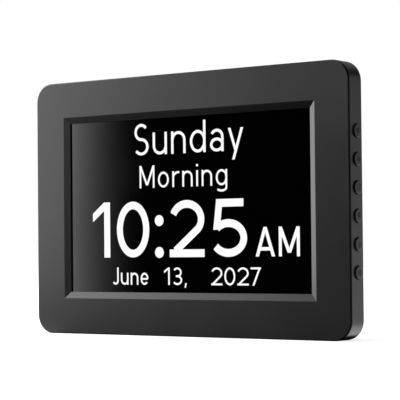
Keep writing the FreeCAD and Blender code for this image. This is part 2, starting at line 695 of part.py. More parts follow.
def stand_foot():
    """Rubber cap with a round end that touches the table."""
    cap = Part.makeSphere(FOOT_RADIUS, FOOT_CENTRE)
    sleeve = peg_rod(FOOT_RADIUS, PEG_LENGTH - FOOT_LENGTH, FOOT_LENGTH)
    bore = peg_rod(PEG_END_RADIUS, PEG_LENGTH - FOOT_GRIP, FOOT_GRIP)
    mouth = Part.makeCone(PEG_RADIUS, PEG_END_RADIUS, PEG_LENGTH - COLLAR - FOOT_GRIP,
                          PEG_SEAT + PEG_WAY * COLLAR, PEG_WAY)
    return cap.fuse(sleeve).removeSplitter().cut([bore, mouth])


# ---------------------------------------------------------------- display module

def screen_gasket():
    opening = pocket(WINDOW_WIDTH + 2 * GASKET_SETBACK, WINDOW_HEIGHT + 2 * GASKET_SETBACK, 0, SLIM_DEPTH)
    return pocket(MODULE_WIDTH, MODULE_HEIGHT, FRAME_REAR, GLASS_FRONT).cut(opening)


def lcd_panel():
    return pocket(GLASS_WIDTH, GLASS_HEIGHT, GLASS_FRONT, GLASS_REAR)


def lcd_mould_frame():
    """Open frame with a thin shelf between the glass in front and the light guide behind."""
    outer = pocket(MODULE_WIDTH, MODULE_HEIGHT, GLASS_FRONT, MODULE_REAR)
    front = pocket(POCKET_WIDTH, POCKET_HEIGHT, GLASS_FRONT - PAST, GLASS_REAR)
    middle = pocket(WINDOW_WIDTH, WINDOW_HEIGHT, GLASS_FRONT, MODULE_REAR)
    rear = pocket(POCKET_WIDTH, POCKET_HEIGHT, SHELF_REAR, MODULE_REAR + PAST)
    return outer.cut([front, middle, rear])


def guide_sheet(y0, y1):
    """A sheet of the light guide's outline."""
    top = MIDDLE + POCKET_HEIGHT / 2 - PANEL_CLEARANCE
    half = GLASS_WIDTH / 2
    return box(-half, half, y0, y1, GUIDE_BOTTOM, top)


def optical_films():
    return guide_sheet(SHELF_REAR, FILM_REAR)


def light_guide():
    return guide_sheet(FILM_REAR, GUIDE_REAR)


def reflector_sheet():
    return guide_sheet(GUIDE_REAR, MODULE_REAR)


def backlight_strip():
    z = MIDDLE - POCKET_HEIGHT / 2
    half = GLASS_WIDTH / 2 - LED_STRIP_END
    return box(-half, half, SHELF_REAR, GUIDE_REAR, z, z + LED_STRIP)


def backlight_leds():
    z = MIDDLE - POCKET_HEIGHT / 2 + LED_STRIP
    pitch = (GLASS_WIDTH - 2 * LED_STRIP_END) / LED_COUNT
    leds = []
    for i in range(LED_COUNT):
        x = (i - (LED_COUNT - 1) / 2) * pitch
        leds.append(box(x - LED_WIDTH / 2, x + LED_WIDTH / 2, FILM_REAR, GUIDE_REAR, z, z + LED_SIZE))
    return leds


def lcd_back_tray():
    front = GLASS_FRONT + TRAY_LIP_SETBACK
    outer = pocket(TRAY_WIDTH, TRAY_HEIGHT, front, TRAY_REAR)
    return outer.cut(pocket(MODULE_WIDTH, MODULE_HEIGHT, front - PAST, MODULE_REAR))


def lcd_flex_cable():
    """From the module's rear, through the chassis slot, round the board's lower edge to its connector."""
    x = LCD_RIBBON_X - LCD_RIBBON_WIDTH / 2
    lie = TRAY_REAR + RIBBON / 2
    end_y = BOARD_REAR + CONNECTOR_HEIGHT / 2
    under = BOARD_BOTTOM - 3 * RIBBON_BEND
    slot_z = BOARD_BOTTOM - 2 * FLEX_SLOT_HEIGHT / 3
    end_z = lcd_connector_bottom() - RIBBON / 2
    start_z = slot_z - FLEX_SLOT_HEIGHT / 2
    route = ((lie, start_z), (lie, slot_z), (BOARD_FRONT, under), (end_y, under), (end_y, end_z))
    return ribbon([V(x, y, z) for y, z in route], V(LCD_RIBBON_WIDTH, 0, 0))


# ---------------------------------------------------------------- chassis, board and its parts

def foam_pads():
    places = corners_of(TRAY_WIDTH / 2 - FOAM_IN, TRAY_HEIGHT / 2 - FOAM_UP)
    return [block(x, z, FOAM_WIDTH, FOAM_HEIGHT, TRAY_REAR, CHASSIS_FRONT) for x, z in places]


def chassis_plate():
    """Sheet-metal plate with four joggled ears on the face frame's bosses."""
    width = 2 * (CHASSIS_SIDE + CHASSIS_SHEET)
    plate = pocket(width, TRAY_HEIGHT - 2 * CHASSIS_TRIM, CHASSIS_FRONT, CHASSIS_REAR)
    ear_z = TRAY_HEIGHT / 2 - EAR_UP
    ears = []
    for side in (-1, 1):
        for z in (MIDDLE - ear_z, MIDDLE + ear_z):
            web_x = side * (CHASSIS_SIDE + CHASSIS_SHEET / 2)
            ears.append(block(web_x, z, CHASSIS_SHEET, EAR_HEIGHT, EAR_FRONT, CHASSIS_REAR))
            ear_x = side * (CHASSIS_SIDE + EAR_LENGTH / 2)
            ears.append(block(ear_x, z, EAR_LENGTH, EAR_HEIGHT, EAR_FRONT, EAR_FRONT + CHASSIS_SHEET))
    hole = SMALL_SHANK + HOLE_CLEARANCE
    cuts = [rod_y(x, z, hole, 0, SLIM_DEPTH) for x, z in chassis_screw_places() + board_screw_places()]
    slot_z = BOARD_BOTTOM - FLEX_SLOT_HEIGHT / 2
    slot_width = LCD_RIBBON_WIDTH + 4 * CONNECTOR_END
    cuts.append(block(LCD_RIBBON_X, slot_z, slot_width, FLEX_SLOT_HEIGHT, 0, SLIM_DEPTH))
    hole_x = TRAY_WIDTH / 2 - LIGHTENING_IN
    cuts += [rod_y(x, BOARD_MIDDLE, LIGHTENING_HOLE, 0, SLIM_DEPTH) for x in (-hole_x, hole_x)]
    return plate.fuse(ears).removeSplitter().cut(cuts)


def chassis_screws():
    seat = EAR_FRONT + CHASSIS_SHEET
    return screws_at(chassis_screw_places(), seat, *SMALL_SCREW, SMALL_SCREW_LENGTH)


def board_standoffs():
    hole = SMALL_SHANK + PILOT_CLEARANCE
    posts = []
    for x, z in board_screw_places():
        post = rod_y(x, z, STANDOFF_RADIUS, CHASSIS_REAR, BOARD_FRONT)
        posts.append(post.cut(rod_y(x, z, hole, CHASSIS_REAR - PAST, BOARD_FRONT + PAST)))
    return posts


def main_board():
    top = BOARD_BOTTOM + BOARD_HEIGHT
    board = box(BOARD_LEFT, BOARD_RIGHT, BOARD_FRONT, BOARD_REAR, BOARD_BOTTOM, top)
    hole = SMALL_SHANK + HOLE_CLEARANCE
    y0 = BOARD_FRONT - PAST
    y1 = BOARD_REAR + PAST
    return board.cut([rod_y(x, z, hole, y0, y1) for x, z in board_screw_places()])


def board_screws():
    return screws_at(board_screw_places(), BOARD_REAR, *SMALL_SCREW, SMALL_SCREW_LENGTH)


def on_board(place):
    """x and z of a place given from the board's left edge and middle."""
    return BOARD_LEFT + place[0], BOARD_MIDDLE + place[1]


def chip(place, width, height, thickness):
    """A moulded chip on the board, with one small orientation dimple."""
    x, z = on_board(place)
    body = block(x, z, width, height, BOARD_REAR, BOARD_REAR + thickness)
    top = BOARD_REAR + thickness
    body = body.makeChamfer(thickness / 5, rim(body, top))
    dimple = rod_y(x - width / 3, z + height / 3, width / 16, top - thickness / 8, top + PAST)
    return body.cut(dimple)


def processor_chip():
    return chip(CHIP_PLACE, *CHIP_SIZE)


def memory_chips():
    return [chip(place, *MEMORY_SIZE) for place in MEMORY_PLACES]


def power_inductor():
    x, z = on_board(INDUCTOR_PLACE)
    width, height, thickness = INDUCTOR_SIZE
    body = block(x, z, width, height, BOARD_REAR, BOARD_REAR + thickness)
    corners = [e for e in body.Edges if e.BoundBox.YLength > thickness / 2]
    return body.makeFillet(width / 6, corners)


def capacitors():
    top = BOARD_REAR + CAPACITOR_HEIGHT
    board_top = BOARD_BOTTOM + BOARD_HEIGHT
    cans = []
    for along, down in CAPACITOR_PLACES:
        can = rod_y(BOARD_LEFT + along, board_top - down, CAPACITOR_RADIUS, BOARD_REAR, top)
        cans.append(can.makeFillet(CAPACITOR_RADIUS / 8, rim(can, top)))
    return cans


def clock_crystal():
    x, z = on_board(CRYSTAL_PLACE)
    return rod_x(BOARD_REAR + CRYSTAL_RADIUS, z, CRYSTAL_RADIUS, x, x + CRYSTAL_LENGTH)


def coin_cell_holder():
    bore = CELL_RADIUS + CELL_CLEARANCE
    cup = rod_y(CELL_X, CELL_Z, bore + HOLDER_WALL, BOARD_REAR, BOARD_REAR + HOLDER_HEIGHT)
    return cup.cut(rod_y(CELL_X, CELL_Z, bore, BOARD_REAR + HOLDER_FLOOR, COVER_REAR))


def coin_cell():
    front = BOARD_REAR + HOLDER_FLOOR
    cell = rod_y(CELL_X, CELL_Z, CELL_RADIUS, front, front + CELL_THICKNESS)
    return cell.makeFillet(CELL_THICKNESS / 10, rim(cell, front + CELL_THICKNESS))


def coin_cell_clip():
    """Metal strap over the cell, with a leg down to the board on each side."""
    half = CELL_RADIUS + CELL_CLEARANCE + HOLDER_WALL
    top = BOARD_REAR + HOLDER_FLOOR + CELL_THICKNESS
    strap = block(CELL_X, CELL_Z, CLIP_WIDTH, 2 * (half + CLIP), top, top + CLIP)
    leg_out = half + CLIP / 2
    legs = [block(CELL_X, CELL_Z + out, CLIP_WIDTH, CLIP, BOARD_REAR, top) for out in (-leg_out, leg_out)]
    return strap.fuse(legs).removeSplitter()


def connector(x, z, width, height):
    body = block(x, z, width, height, BOARD_REAR, BOARD_REAR + CONNECTOR_HEIGHT)
    return body.makeChamfer(CONNECTOR_HEIGHT / 8, rim(body, BOARD_REAR + CONNECTOR_HEIGHT))


def lcd_connector_bottom():
    return BOARD_BOTTOM + BOARD_HOLE_UP / 2


def lcd_connector():
    height = 1.5 * CONNECTOR_HEIGHT
    width = LCD_RIBBON_WIDTH + 2 * CONNECTOR_END
    return connector(LCD_RIBBON_X, lcd_connector_bottom() + height / 2, width, height)


def board_key_connector():
    width = 2 * CONNECTOR_HEIGHT
    return connector(BOARD_RIGHT - width / 2, MIDDLE, width, KEY_RIBBON_WIDTH + 2 * CONNECTOR_END)


def speaker_connector():
    width = 2 * CONNECTOR_HEIGHT
    return connector(BOARD_RIGHT - width / 2, terminal_z(), width, 3 * WIRE_SPACING)


def dc_jack():
    y = SOCKET_AXIS_Y
    z = SOCKET_AXIS_Z
    mouth = -COVER_WIDTH / 2
    middle = BOARD_LEFT + SOCKET_LENGTH / 2
    body = block(middle, z, SOCKET_LENGTH, SOCKET_WIDTH, BOARD_REAR, BOARD_REAR + SOCKET_HEIGHT)
    nose = rod_x(y, z, NOSE_RADIUS, mouth, middle)
    bore = rod_x(y, z, SOCKET_BORE, mouth - PAST, mouth + SOCKET_BORE_DEPTH)
    return body.fuse(nose).removeSplitter().cut(bore)


def dc_jack_pin():
    mouth = -COVER_WIDTH / 2
    tip = mouth + SOCKET_PIN_SETBACK
    return rod_x(SOCKET_AXIS_Y, SOCKET_AXIS_Z, SOCKET_PIN, tip, mouth + SOCKET_BORE_DEPTH)


# ---------------------------------------------------------------- speaker

def turned(profile):
    """A solid turned about the speaker's axis from (radius, y) points."""
    points = [V(SPEAKER_X + r, y, SPEAKER_Z) for r, y in profile]
    face = Part.Face(Part.makePolygon(points + points[:1]))
    return face.revolve(V(SPEAKER_X, 0, SPEAKER_Z), V(0, 1, 0), 360)


def terminal_z():
    return SPEAKER_Z - TERMINAL


def basket_front():
    return COVER_INSIDE - SPEAKER_FLANGE - SPEAKER_DEPTH


def speaker_frame():
    flange = COVER_INSIDE - SPEAKER_FLANGE
    base = basket_front()
    inner = SPEAKER_RADIUS - SPEAKER_RIM
    basket = turned([(0, base), (MAGNET_RADIUS, base), (inner, flange), (SPEAKER_RADIUS, flange),
                     (SPEAKER_RADIUS, COVER_INSIDE), (inner, COVER_INSIDE), (inner, flange + SPEAKER_SHEET),
                     (MAGNET_RADIUS, base + SPEAKER_SHEET), (0, base + SPEAKER_SHEET)])
    tab_length = SPEAKER_RIM + TERMINAL_OUT
    tab_x = SPEAKER_X - inner - tab_length / 2
    tab = block(tab_x, terminal_z(), tab_length, TERMINAL, flange, COVER_INSIDE - TERMINAL_GAP)
    tab = tab.cut(rod_y(SPEAKER_X, SPEAKER_Z, inner + SPEAKER_RIM / 2, flange - PAST, COVER_INSIDE))
    return basket.fuse(tab).removeSplitter()


def speaker_cone():
    """Paper cone with a dust cap, glued to the basket's flange and neck."""
    flange = COVER_INSIDE - SPEAKER_FLANGE
    neck = basket_front() + SPEAKER_SHEET
    rim_r = SPEAKER_RADIUS - SPEAKER_RIM
    top = flange + SPEAKER_SHEET
    return turned([(0, neck + CONE_SHEET), (CONE_NECK, neck), (CONE_NECK, neck + CONE_SHEET),
                   (rim_r - CONE_SHEET, top), (rim_r, top), (rim_r, top + CONE_SHEET / 2),
                   (rim_r - CONE_SHEET, top + CONE_SHEET / 2), (CONE_NECK, neck + 2 * CONE_SHEET),
                   (0, neck + 3 * CONE_SHEET)])


def speaker_magnet():
    front = basket_front()
    magnet = rod_y(SPEAKER_X, SPEAKER_Z, MAGNET_RADIUS, front - MAGNET_HEIGHT, front)
    return magnet.makeChamfer(MAGNET_HEIGHT / 8, rim(magnet, front - MAGNET_HEIGHT))


def speaker_wires():
    x0 = BOARD_RIGHT
    y0 = BOARD_REAR + CONNECTOR_HEIGHT / 2
    x1 = SPEAKER_X - SPEAKER_RADIUS - TERMINAL_OUT
    y1 = COVER_INSIDE - (SPEAKER_FLANGE + TERMINAL_GAP) / 2
    third = (x1 - x0) / 3
    wires = []
    for z in (terminal_z() - WIRE_SPACING / 2, terminal_z() + WIRE_SPACING / 2):
        wires.append(wire([V(x0, y0, z), V(x0 + third, y0, z), V(x1 - third, y1, z), V(x1, y1, z)]))
    return wires


# ---------------------------------------------------------------- buttons

def button_cap(z):
    """A round cap with a flat face, and two lugs that keep it behind the wall."""
    face = WIDTH / 2 + BUTTON_PROUD
    cap = rod_x(BUTTON_DEPTH, z, BUTTON_RADIUS, CAP_INNER, face)
    edge = [e for e in cap.Edges if e.BoundBox.XLength < SAME and e.BoundBox.XMin > WIDTH / 2]
    cap = cap.makeFillet(BUTTON_EASE, edge)
    lug_half = BUTTON_RADIUS + BUTTON_CLEARANCE + LUG_REACH
    lug_x = (CAP_INNER + LUG_OUTER) / 2
    lug_y = BUTTON_DEPTH - LUG_WIDTH / 2
    lugs = block(lug_x, z, LUG, 2 * lug_half, lug_y, lug_y + LUG_WIDTH)
    return cap.fuse(lugs).removeSplitter()


def switch_plunger(z):
    return rod_x(BUTTON_DEPTH, z, PLUNGER_RADIUS, SWITCH_TOP - PLUNGER_IN, CAP_INNER)


def switch_bodies():
    half = SWITCH_SIZE / 2
    middle = (SWITCH_BASE + SWITCH_TOP) / 2
    bore = PLUNGER_RADIUS + PLUNGER_CLEARANCE
    bottom = SWITCH_TOP - PLUNGER_IN - 2 * BUTTON_TRAVEL
    bodies = []
    for z in button_heights():
        body = block(middle, z, SWITCH_HEIGHT, SWITCH_SIZE, BUTTON_DEPTH - half, BUTTON_DEPTH + half)
        bodies.append(body.cut(rod_x(BUTTON_DEPTH, z, bore, bottom, SWITCH_TOP + PAST)))
    return bodies


def key_board():
    half = KEY_BOARD_WIDTH / 2
    middle = (KEY_BOARD_INNER + SWITCH_BASE) / 2
    height = 2 * KEY_BOARD_HALF
    board = block(middle, COLUMN_MIDDLE, KEY_BOARD, height, BUTTON_DEPTH - half, BUTTON_DEPTH + half)
    hole = SMALL_SHANK + HOLE_CLEARANCE
    x0 = KEY_BOARD_INNER - PAST
    x1 = SWITCH_BASE + PAST
    return board.cut([rod_x(BUTTON_DEPTH, z, hole, x0, x1) for z in key_screw_heights()])


def key_board_screws():
    first = screw(*SMALL_SCREW, SMALL_SCREW_LENGTH)
    first = first.rotated(V(0, 0, 0), V(0, 0, 1), 90)
    return [first.translated(V(KEY_BOARD_INNER, BUTTON_DEPTH, z)) for z in key_screw_heights()]


def key_connector():
    half = KEY_BOARD_WIDTH / 4
    middle = KEY_BOARD_INNER - KEY_CONNECTOR / 2
    height = KEY_RIBBON_WIDTH + 2 * CONNECTOR_END
    return block(middle, MIDDLE, KEY_CONNECTOR, height, BUTTON_DEPTH - half, BUTTON_DEPTH + half)


def key_cable():
    """From the key board, between chassis and rear wall, through the opening to the main board."""
    z = MIDDLE - KEY_RIBBON_WIDTH / 2
    x0 = KEY_BOARD_INNER - KEY_CONNECTOR - RIBBON / 2
    x1 = x0 - 2 * RIBBON_BEND
    x2 = OPENING_WIDTH / 2 - 3 * RIBBON_BEND
    x3 = BOARD_RIGHT + RIBBON / 2
    between = (CHASSIS_REAR + REAR_WALL_FRONT) / 2
    end_y = BOARD_REAR + CONNECTOR_HEIGHT / 2
    route = ((x0, BUTTON_DEPTH), (x1, BUTTON_DEPTH), (x1, between), (x2, between), (x2, end_y), (x3, end_y))
    return ribbon([V(x, y, z) for x, y in route], V(0, 0, KEY_RIBBON_WIDTH))


# ---------------------------------------------------------------- output

def save(name, shape):
    """Write one piece, or one group of separate solids, centred on the clock's depth."""
    group = Part.makeCompound(shape) if isinstance(shape, list) else shape
    placed = group.translated(V(0, -TOTAL_DEPTH / 2, 0))
    placed.exportStep(os.path.join(PARTS, name + ".step"))
    print(f"{name:22s} {len(placed.Solids):2d} solids, {placed.Volume:9.1f} mm3, valid {placed.isValid()}")


SINGLE_PIECES = (
    front_frame, main_housing, back_cover, housing_screws, back_cover_screws,
    stand_insert, stand_peg, stand_foot,
    screen_gasket, lcd_panel, lcd_mould_frame, optical_films, light_guide, reflector_sheet,
    backlight_strip, backlight_leds, lcd_back_tray, lcd_flex_cable,
    foam_pads, chassis_plate, chassis_screws, board_standoffs, main_board, board_screws,
    processor_chip, memory_chips, power_inductor, capacitors, clock_crystal,
    coin_cell_holder, coin_cell, coin_cell_clip,
    lcd_connector, board_key_connector, speaker_connector, dc_jack, dc_jack_pin,
    speaker_frame, speaker_cone, speaker_magnet, speaker_wires,
    switch_bodies, key_board, key_board_screws, key_connector, key_cable,
)

os.makedirs(PARTS, exist_ok=True)
for piece in SINGLE_PIECES:
    save(piece.__name__, piece())
for button, height in zip(BUTTONS, button_heights()):
    save("button_" + button, button_cap(height))
    save("plunger_" + button, switch_plunger(height))
print(f"depth with the stand {TOTAL_DEPTH:.2f}, peg seat {PEG_SEAT}, foot centre {FOOT_CENTRE}")
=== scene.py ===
# %% [markdown]
# A day clock is a small picture-frame display that tells the weekday, the part of the day, the time and the date
# in large plain words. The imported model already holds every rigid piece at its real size. This lesson dresses it:
# finishes for the plastics, metals and glass, the lit words on the screen, the little marks on the buttons, and a
# plain white studio round it.

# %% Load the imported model
import json
import math

import bmesh
import bpy
from mathutils import Matrix, Vector
from mathutils.geometry import delaunay_2d_cdt


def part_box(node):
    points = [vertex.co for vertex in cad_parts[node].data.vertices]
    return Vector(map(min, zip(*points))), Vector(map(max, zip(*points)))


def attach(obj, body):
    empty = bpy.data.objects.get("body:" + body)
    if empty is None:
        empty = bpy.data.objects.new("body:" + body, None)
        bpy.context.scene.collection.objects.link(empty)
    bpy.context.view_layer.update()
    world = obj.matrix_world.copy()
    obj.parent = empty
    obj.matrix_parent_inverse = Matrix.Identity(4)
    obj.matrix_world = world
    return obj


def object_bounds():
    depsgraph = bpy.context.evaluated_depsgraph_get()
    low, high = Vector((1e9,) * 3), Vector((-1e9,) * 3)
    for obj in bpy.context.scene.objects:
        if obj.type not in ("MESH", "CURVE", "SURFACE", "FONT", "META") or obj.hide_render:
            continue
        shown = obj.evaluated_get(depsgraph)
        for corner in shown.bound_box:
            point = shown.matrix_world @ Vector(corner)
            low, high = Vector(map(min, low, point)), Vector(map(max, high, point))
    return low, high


MM = 0.001
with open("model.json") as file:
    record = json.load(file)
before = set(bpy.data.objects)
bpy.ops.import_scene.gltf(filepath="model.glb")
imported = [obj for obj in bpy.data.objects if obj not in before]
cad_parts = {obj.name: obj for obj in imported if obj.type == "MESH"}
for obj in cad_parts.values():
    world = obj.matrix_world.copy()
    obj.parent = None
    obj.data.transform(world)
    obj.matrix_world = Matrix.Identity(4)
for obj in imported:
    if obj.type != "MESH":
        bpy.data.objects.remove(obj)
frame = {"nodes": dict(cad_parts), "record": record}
cad_low, cad_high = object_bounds()
print("clock measures", [round(side / MM, 1) for side in cad_high - cad_low], "mm")

# %% [markdown]
# The camera comes first, because every later choice is judged through it. A long lens from nearly a metre away
# keeps the sides of the clock almost parallel, as a catalogue picture does. Its place is given the way someone at a
# tripod would say it: how far round to the right, how far below level, how far from a point near the middle of the
# face, and how far the camera tilts on its own axis.

# %% Place the camera
CAMERA_TURN = math.radians(36.25)
CAMERA_BELOW = math.radians(1.67)
CAMERA_TILT = math.radians(-0.552)
CAMERA_DISTANCE = 844.5 * MM
CAMERA_AIM = Vector((11.0 * MM, cad_low.y, 70.0 * MM))
LENS_MM = 148.95


def add_camera():
    data = bpy.data.cameras.new("catalogue_camera")
    data.lens = LENS_MM
    data.clip_start = 0.05
    data.clip_end = 50.0
    camera = bpy.data.objects.new("catalogue_camera", data)
    bpy.context.collection.objects.link(camera)
    turn = Matrix.Rotation(CAMERA_TURN, 4, "Z")
    look = Matrix.Rotation(math.radians(90) + CAMERA_BELOW, 4, "X")
    tilt = Matrix.Rotation(CAMERA_TILT, 4, "Z")
    facing = turn @ look @ tilt
    back = facing.to_3x3() @ Vector((0, 0, 1))
    camera.matrix_world = Matrix.Translation(CAMERA_AIM + back * CAMERA_DISTANCE) @ facing
    bpy.context.scene.camera = camera
    return camera


camera = add_camera()
bpy.context.scene.view_settings.view_transform = "Standard"
print("camera at", [round(c / MM) for c in camera.matrix_world.translation], "mm")

# %% [markdown]
# Small helpers keep the node trees short to read. One fills the sockets of a node, one adds a node, and one makes
# a node group with named inputs and outputs. Every effect below that more than one material needs is such a group,
# built once and then placed in each material with that material's own values.

# %% Helpers for node trees


def fill_sockets(tree, node, inputs):
    """Each socket, by its name or number, gets a value, or a link where another socket is given."""
    for name, value in inputs.items():
        if isinstance(value, bpy.types.NodeSocket):
            tree.links.new(value, node.inputs[name])
        else:
            node.inputs[name].default_value = value


def add_node(tree, kind, inputs=None, **settings):
    node = tree.nodes.new(kind)
    for name, value in settings.items():
        setattr(node, name, value)
    fill_sockets(tree, node, inputs or {})
    return node


def new_group(name, inputs, outputs):
    """A node group of plain values. inputs names each with its start value, and outputs only names them."""
    group = bpy.data.node_groups.new(name, "ShaderNodeTree")
    for label, value in inputs.items():
        socket = group.interface.new_socket(label, in_out="INPUT", socket_type="NodeSocketFloat")
        socket.default_value = value
    for label in outputs:
        group.interface.new_socket(label, in_out="OUTPUT", socket_type="NodeSocketFloat")
    return group, group.nodes.new("NodeGroupInput").outputs, group.nodes.new("NodeGroupOutput").inputs


def place_group(tree, group, **values):
    """The outputs of one copy of a group in a material, with this material's own values."""
    inputs = {name.replace("_", " "): value for name, value in values.items()}
    return add_node(tree, "ShaderNodeGroup", node_tree=group, inputs=inputs).outputs


def new_material(name):
    material = bpy.data.materials.new(name)
    material.use_nodes = True
    return material, material.node_tree, material.node_tree.nodes["Principled BSDF"]


print("node helpers ready")

# %% [markdown]
# Moulded plastic is never quite smooth. The steel mould is eroded by sparks, which leaves a skin of tiny rounded
# pits about a quarter of a millimetre apart. The pits are too fine to model, so a noise pattern drives a bump, and
# the same pattern makes the valleys duller and paints them a touch darker, a painted shade in the pits. The pattern
# is taken in object coordinates, which are real metres here, so the grain is the same size on a big cover and on a
# small button.

# %% Group: moulded grain


def object_place(tree):
    return tree.nodes.new("ShaderNodeTexCoord").outputs["Object"]


def noise(tree, place, scale, detail=2.0, roughness=0.5):
    inputs = {"Vector": place, "Scale": scale, "Detail": detail, "Roughness": roughness}
    return add_node(tree, "ShaderNodeTexNoise", inputs).outputs["Fac"]


def remap(tree, value, low, high, new_low, new_high, smooth=False):
    """new_low where the value is low, new_high where it is high, and even or smooth between them."""
    inputs = {"Value": value, "From Min": low, "From Max": high, "To Min": new_low, "To Max": new_high}
    kind = "SMOOTHSTEP" if smooth else "LINEAR"
    return add_node(tree, "ShaderNodeMapRange", inputs, interpolation_type=kind).outputs["Result"]


def rising(tree, value, low, high):
    """A soft rise from 0 at low to 1 at high. Where low is the larger number, it is a fall."""
    return remap(tree, value, low, high, 0.0, 1.0, smooth=True)


def ranging(tree, mask, low, high):
    """low where a mask is 0, high where it is 1."""
    return remap(tree, mask, 0.0, 1.0, low, high)


def math_node(tree, operation, first, second=0.0):
    return add_node(tree, "ShaderNodeMath", {0: first, 1: second}, operation=operation).outputs[0]


def make_grain_group():
    group, given, out = new_group("moulded_grain", {"Pits per metre": 4000.0}, ("Height", "Valley"))
    fine = noise(group, object_place(group), given["Pits per metre"], detail=3.0, roughness=0.6)
    group.links.new(fine, out["Height"])
    group.links.new(remap(group, fine, 0.35, 0.65, 1.0, 0.0, smooth=True), out["Valley"])
    return group


moulded_grain = make_grain_group()
print("group", moulded_grain.name, "ready")

# %% [markdown]
# Nothing that is handled keeps an even sheen. Fingers leave broad patches that shine a little more, and dust dulls
# others. This group puts out one soft value, a few centimetres across, which each finish adds to its roughness in
# its own measure. A second output holds sparse specks of dust.

# %% Group: handling


def make_handling_group():
    group, given, out = new_group("handling", {"Patches per metre": 28.0, "Specks per metre": 900.0},
                                  ("Patch", "Dust"))
    place = object_place(group)
    patch = noise(group, place, given["Patches per metre"], detail=3.0, roughness=0.55)
    specks = noise(group, place, given["Specks per metre"], detail=1.0)
    group.links.new(rising(group, patch, 0.3, 0.7), out["Patch"])
    group.links.new(rising(group, specks, 0.76, 0.82), out["Dust"])
    return group


handling = make_handling_group()
print("group", handling.name, "ready")

# %% [markdown]
# Sharp corners are where a finish wears first. Cycles can find them: the Bevel node gives the normal that a
# rounded corner would have, and where it parts from the true normal there is an edge. A noise breaks the line up,
# because wear is never even. The radius is a real one, a few tenths of a millimetre.

# %% Group: worn edges


def make_edge_group():
    group, given, out = new_group("worn_edges", {"Radius": 0.4 * MM, "Breaks per metre": 450.0}, ("Edge",))
    rounded = add_node(group, "ShaderNodeBevel", {"Radius": given["Radius"]}, samples=4).outputs["Normal"]
    true = group.nodes.new("ShaderNodeNewGeometry").outputs["Normal"]
    meet = add_node(group, "ShaderNodeVectorMath", {0: rounded, 1: true}, operation="DOT_PRODUCT")
    edge = rising(group, meet.outputs["Value"], 0.995, 0.86)
    breaks = remap(group, noise(group, object_place(group), given["Breaks per metre"]), 0.35, 0.6, 0.25, 1.0)
    group.links.new(math_node(group, "MULTIPLY", edge, breaks), out["Edge"])
    return group


worn_edges = make_edge_group()
print("group", worn_edges.name, "ready")

# %% [markdown]
# A finish is built up in layers. One colour gives way to another where a mask says so, a mask is made weaker by
# multiplying it, and a pattern of heights becomes small bumps. Those steps come up in every finish, so they are
# helpers too.

# %% Helpers for layers


def mix_colours(tree, amount, first, second):
    """first where the amount is 0 and second where it is 1. Each is a colour or another socket."""
    node = tree.nodes.new("ShaderNodeMix")
    node.data_type = "RGBA"
    tree.links.new(amount, node.inputs["Factor"])
    for socket, value in zip((s for s in node.inputs if s.name in "AB" and s.type == "RGBA"), (first, second)):
        if isinstance(value, bpy.types.NodeSocket):
            tree.links.new(value, socket)
        else:
            socket.default_value = (*value, 1.0)
    return next(s for s in node.outputs if s.type == "RGBA")


def shade(colour, factor):
    return tuple(min(1.0, channel * factor) for channel in colour)


def product(tree, *factors):
    total = factors[0]
    for factor in factors[1:]:
        total = math_node(tree, "MULTIPLY", total, factor)
    return total


def relief(tree, height, strength, depth):
    """The normals of small bumps, from a pattern of heights, the share of it that shows and its real depth."""
    inputs = {"Height": height, "Strength": strength, "Distance": depth}
    return add_node(tree, "ShaderNodeBump", inputs).outputs["Normal"]


print("layer helpers ready")

# %% [markdown]
# The case, the face plate, the buttons and the small mouldings inside are all hard plastics that differ in colour,
# grain and gloss. One function makes them all: grain and handling change the roughness, grain drives the bump and
# paints a little shade into its valleys, and worn edges lift the colour slightly. A dark satin plastic is mostly its
# reflection, so roughness matters more than colour here.

# %% Finish: moulded plastic
PIT_DEPTH = 0.02 * MM
VALLEY_PAINTED_SHADE = 0.86
VALLEY_DULLS = 0.02
PLASTIC_DUST = 0.18
DUST_GREY = (0.3, 0.3, 0.29)


def moulded_plastic(name, colour, roughness, pits=4000.0, bump=0.12, wear=1.35):
    material, tree, shader = new_material(name)
    grain = place_group(tree, moulded_grain, Pits_per_metre=pits)
    touch = place_group(tree, handling)
    edges = place_group(tree, worn_edges)
    # Painted shade: the valleys of the grain get a darker copy of the colour.
    toned = mix_colours(tree, grain["Valley"], colour, shade(colour, VALLEY_PAINTED_SHADE))
    dusted = mix_colours(tree, product(tree, touch["Dust"], PLASTIC_DUST), toned, DUST_GREY)
    base = ranging(tree, touch["Patch"], roughness - 0.015, roughness + 0.02)
    fill_sockets(tree, shader, {
        "Base Color": mix_colours(tree, edges["Edge"], dusted, shade(colour, wear)),
        "Roughness": math_node(tree, "ADD", base, product(tree, grain["Valley"], VALLEY_DULLS)),
        "Normal": relief(tree, grain["Height"], strength=bump, depth=PIT_DEPTH)})
    return material


CHARCOAL = (0.0052, 0.0052, 0.0054)
finishes = {
    "face_plastic": moulded_plastic("charcoal_face_plastic", CHARCOAL, 0.30, pits=4200.0, bump=0.10),
    "case_plastic": moulded_plastic("charcoal_case_plastic", CHARCOAL, 0.33, pits=3200.0, bump=0.20),
    "button_plastic": moulded_plastic("charcoal_button_plastic", shade(CHARCOAL, 0.9), 0.30, pits=5200.0),
    "switch_plastic": moulded_plastic("black_switch_plastic", (0.018, 0.018, 0.018), 0.35),
    "speaker_plastic": moulded_plastic("black_speaker_plastic", (0.02, 0.02, 0.02), 0.4),
    "chip_plastic": moulded_plastic("chip_moulding", (0.022, 0.022, 0.024), 0.48, pits=7000.0),
    "white_plastic": moulded_plastic("white_plastic", (0.78, 0.78, 0.75), 0.38, wear=1.1),
}
print("plastics:", ", ".join(finishes))

# %% [markdown]
# Rubber, foam and pressed paper scatter light without any gloss to speak of. They share one recipe: a soft dark
# colour, high roughness, and a coarser lumpy relief whose size tells them apart, from foam cells to paper fibres.
# The hollows of the relief are painted darker, as painted shade.

# %% Finish: rubber, foam and paper
HOLLOW_PAINTED_SHADE = 0.6
ROUGH_DUST = 0.3
DUST_BROWN = (0.25, 0.24, 0.22)


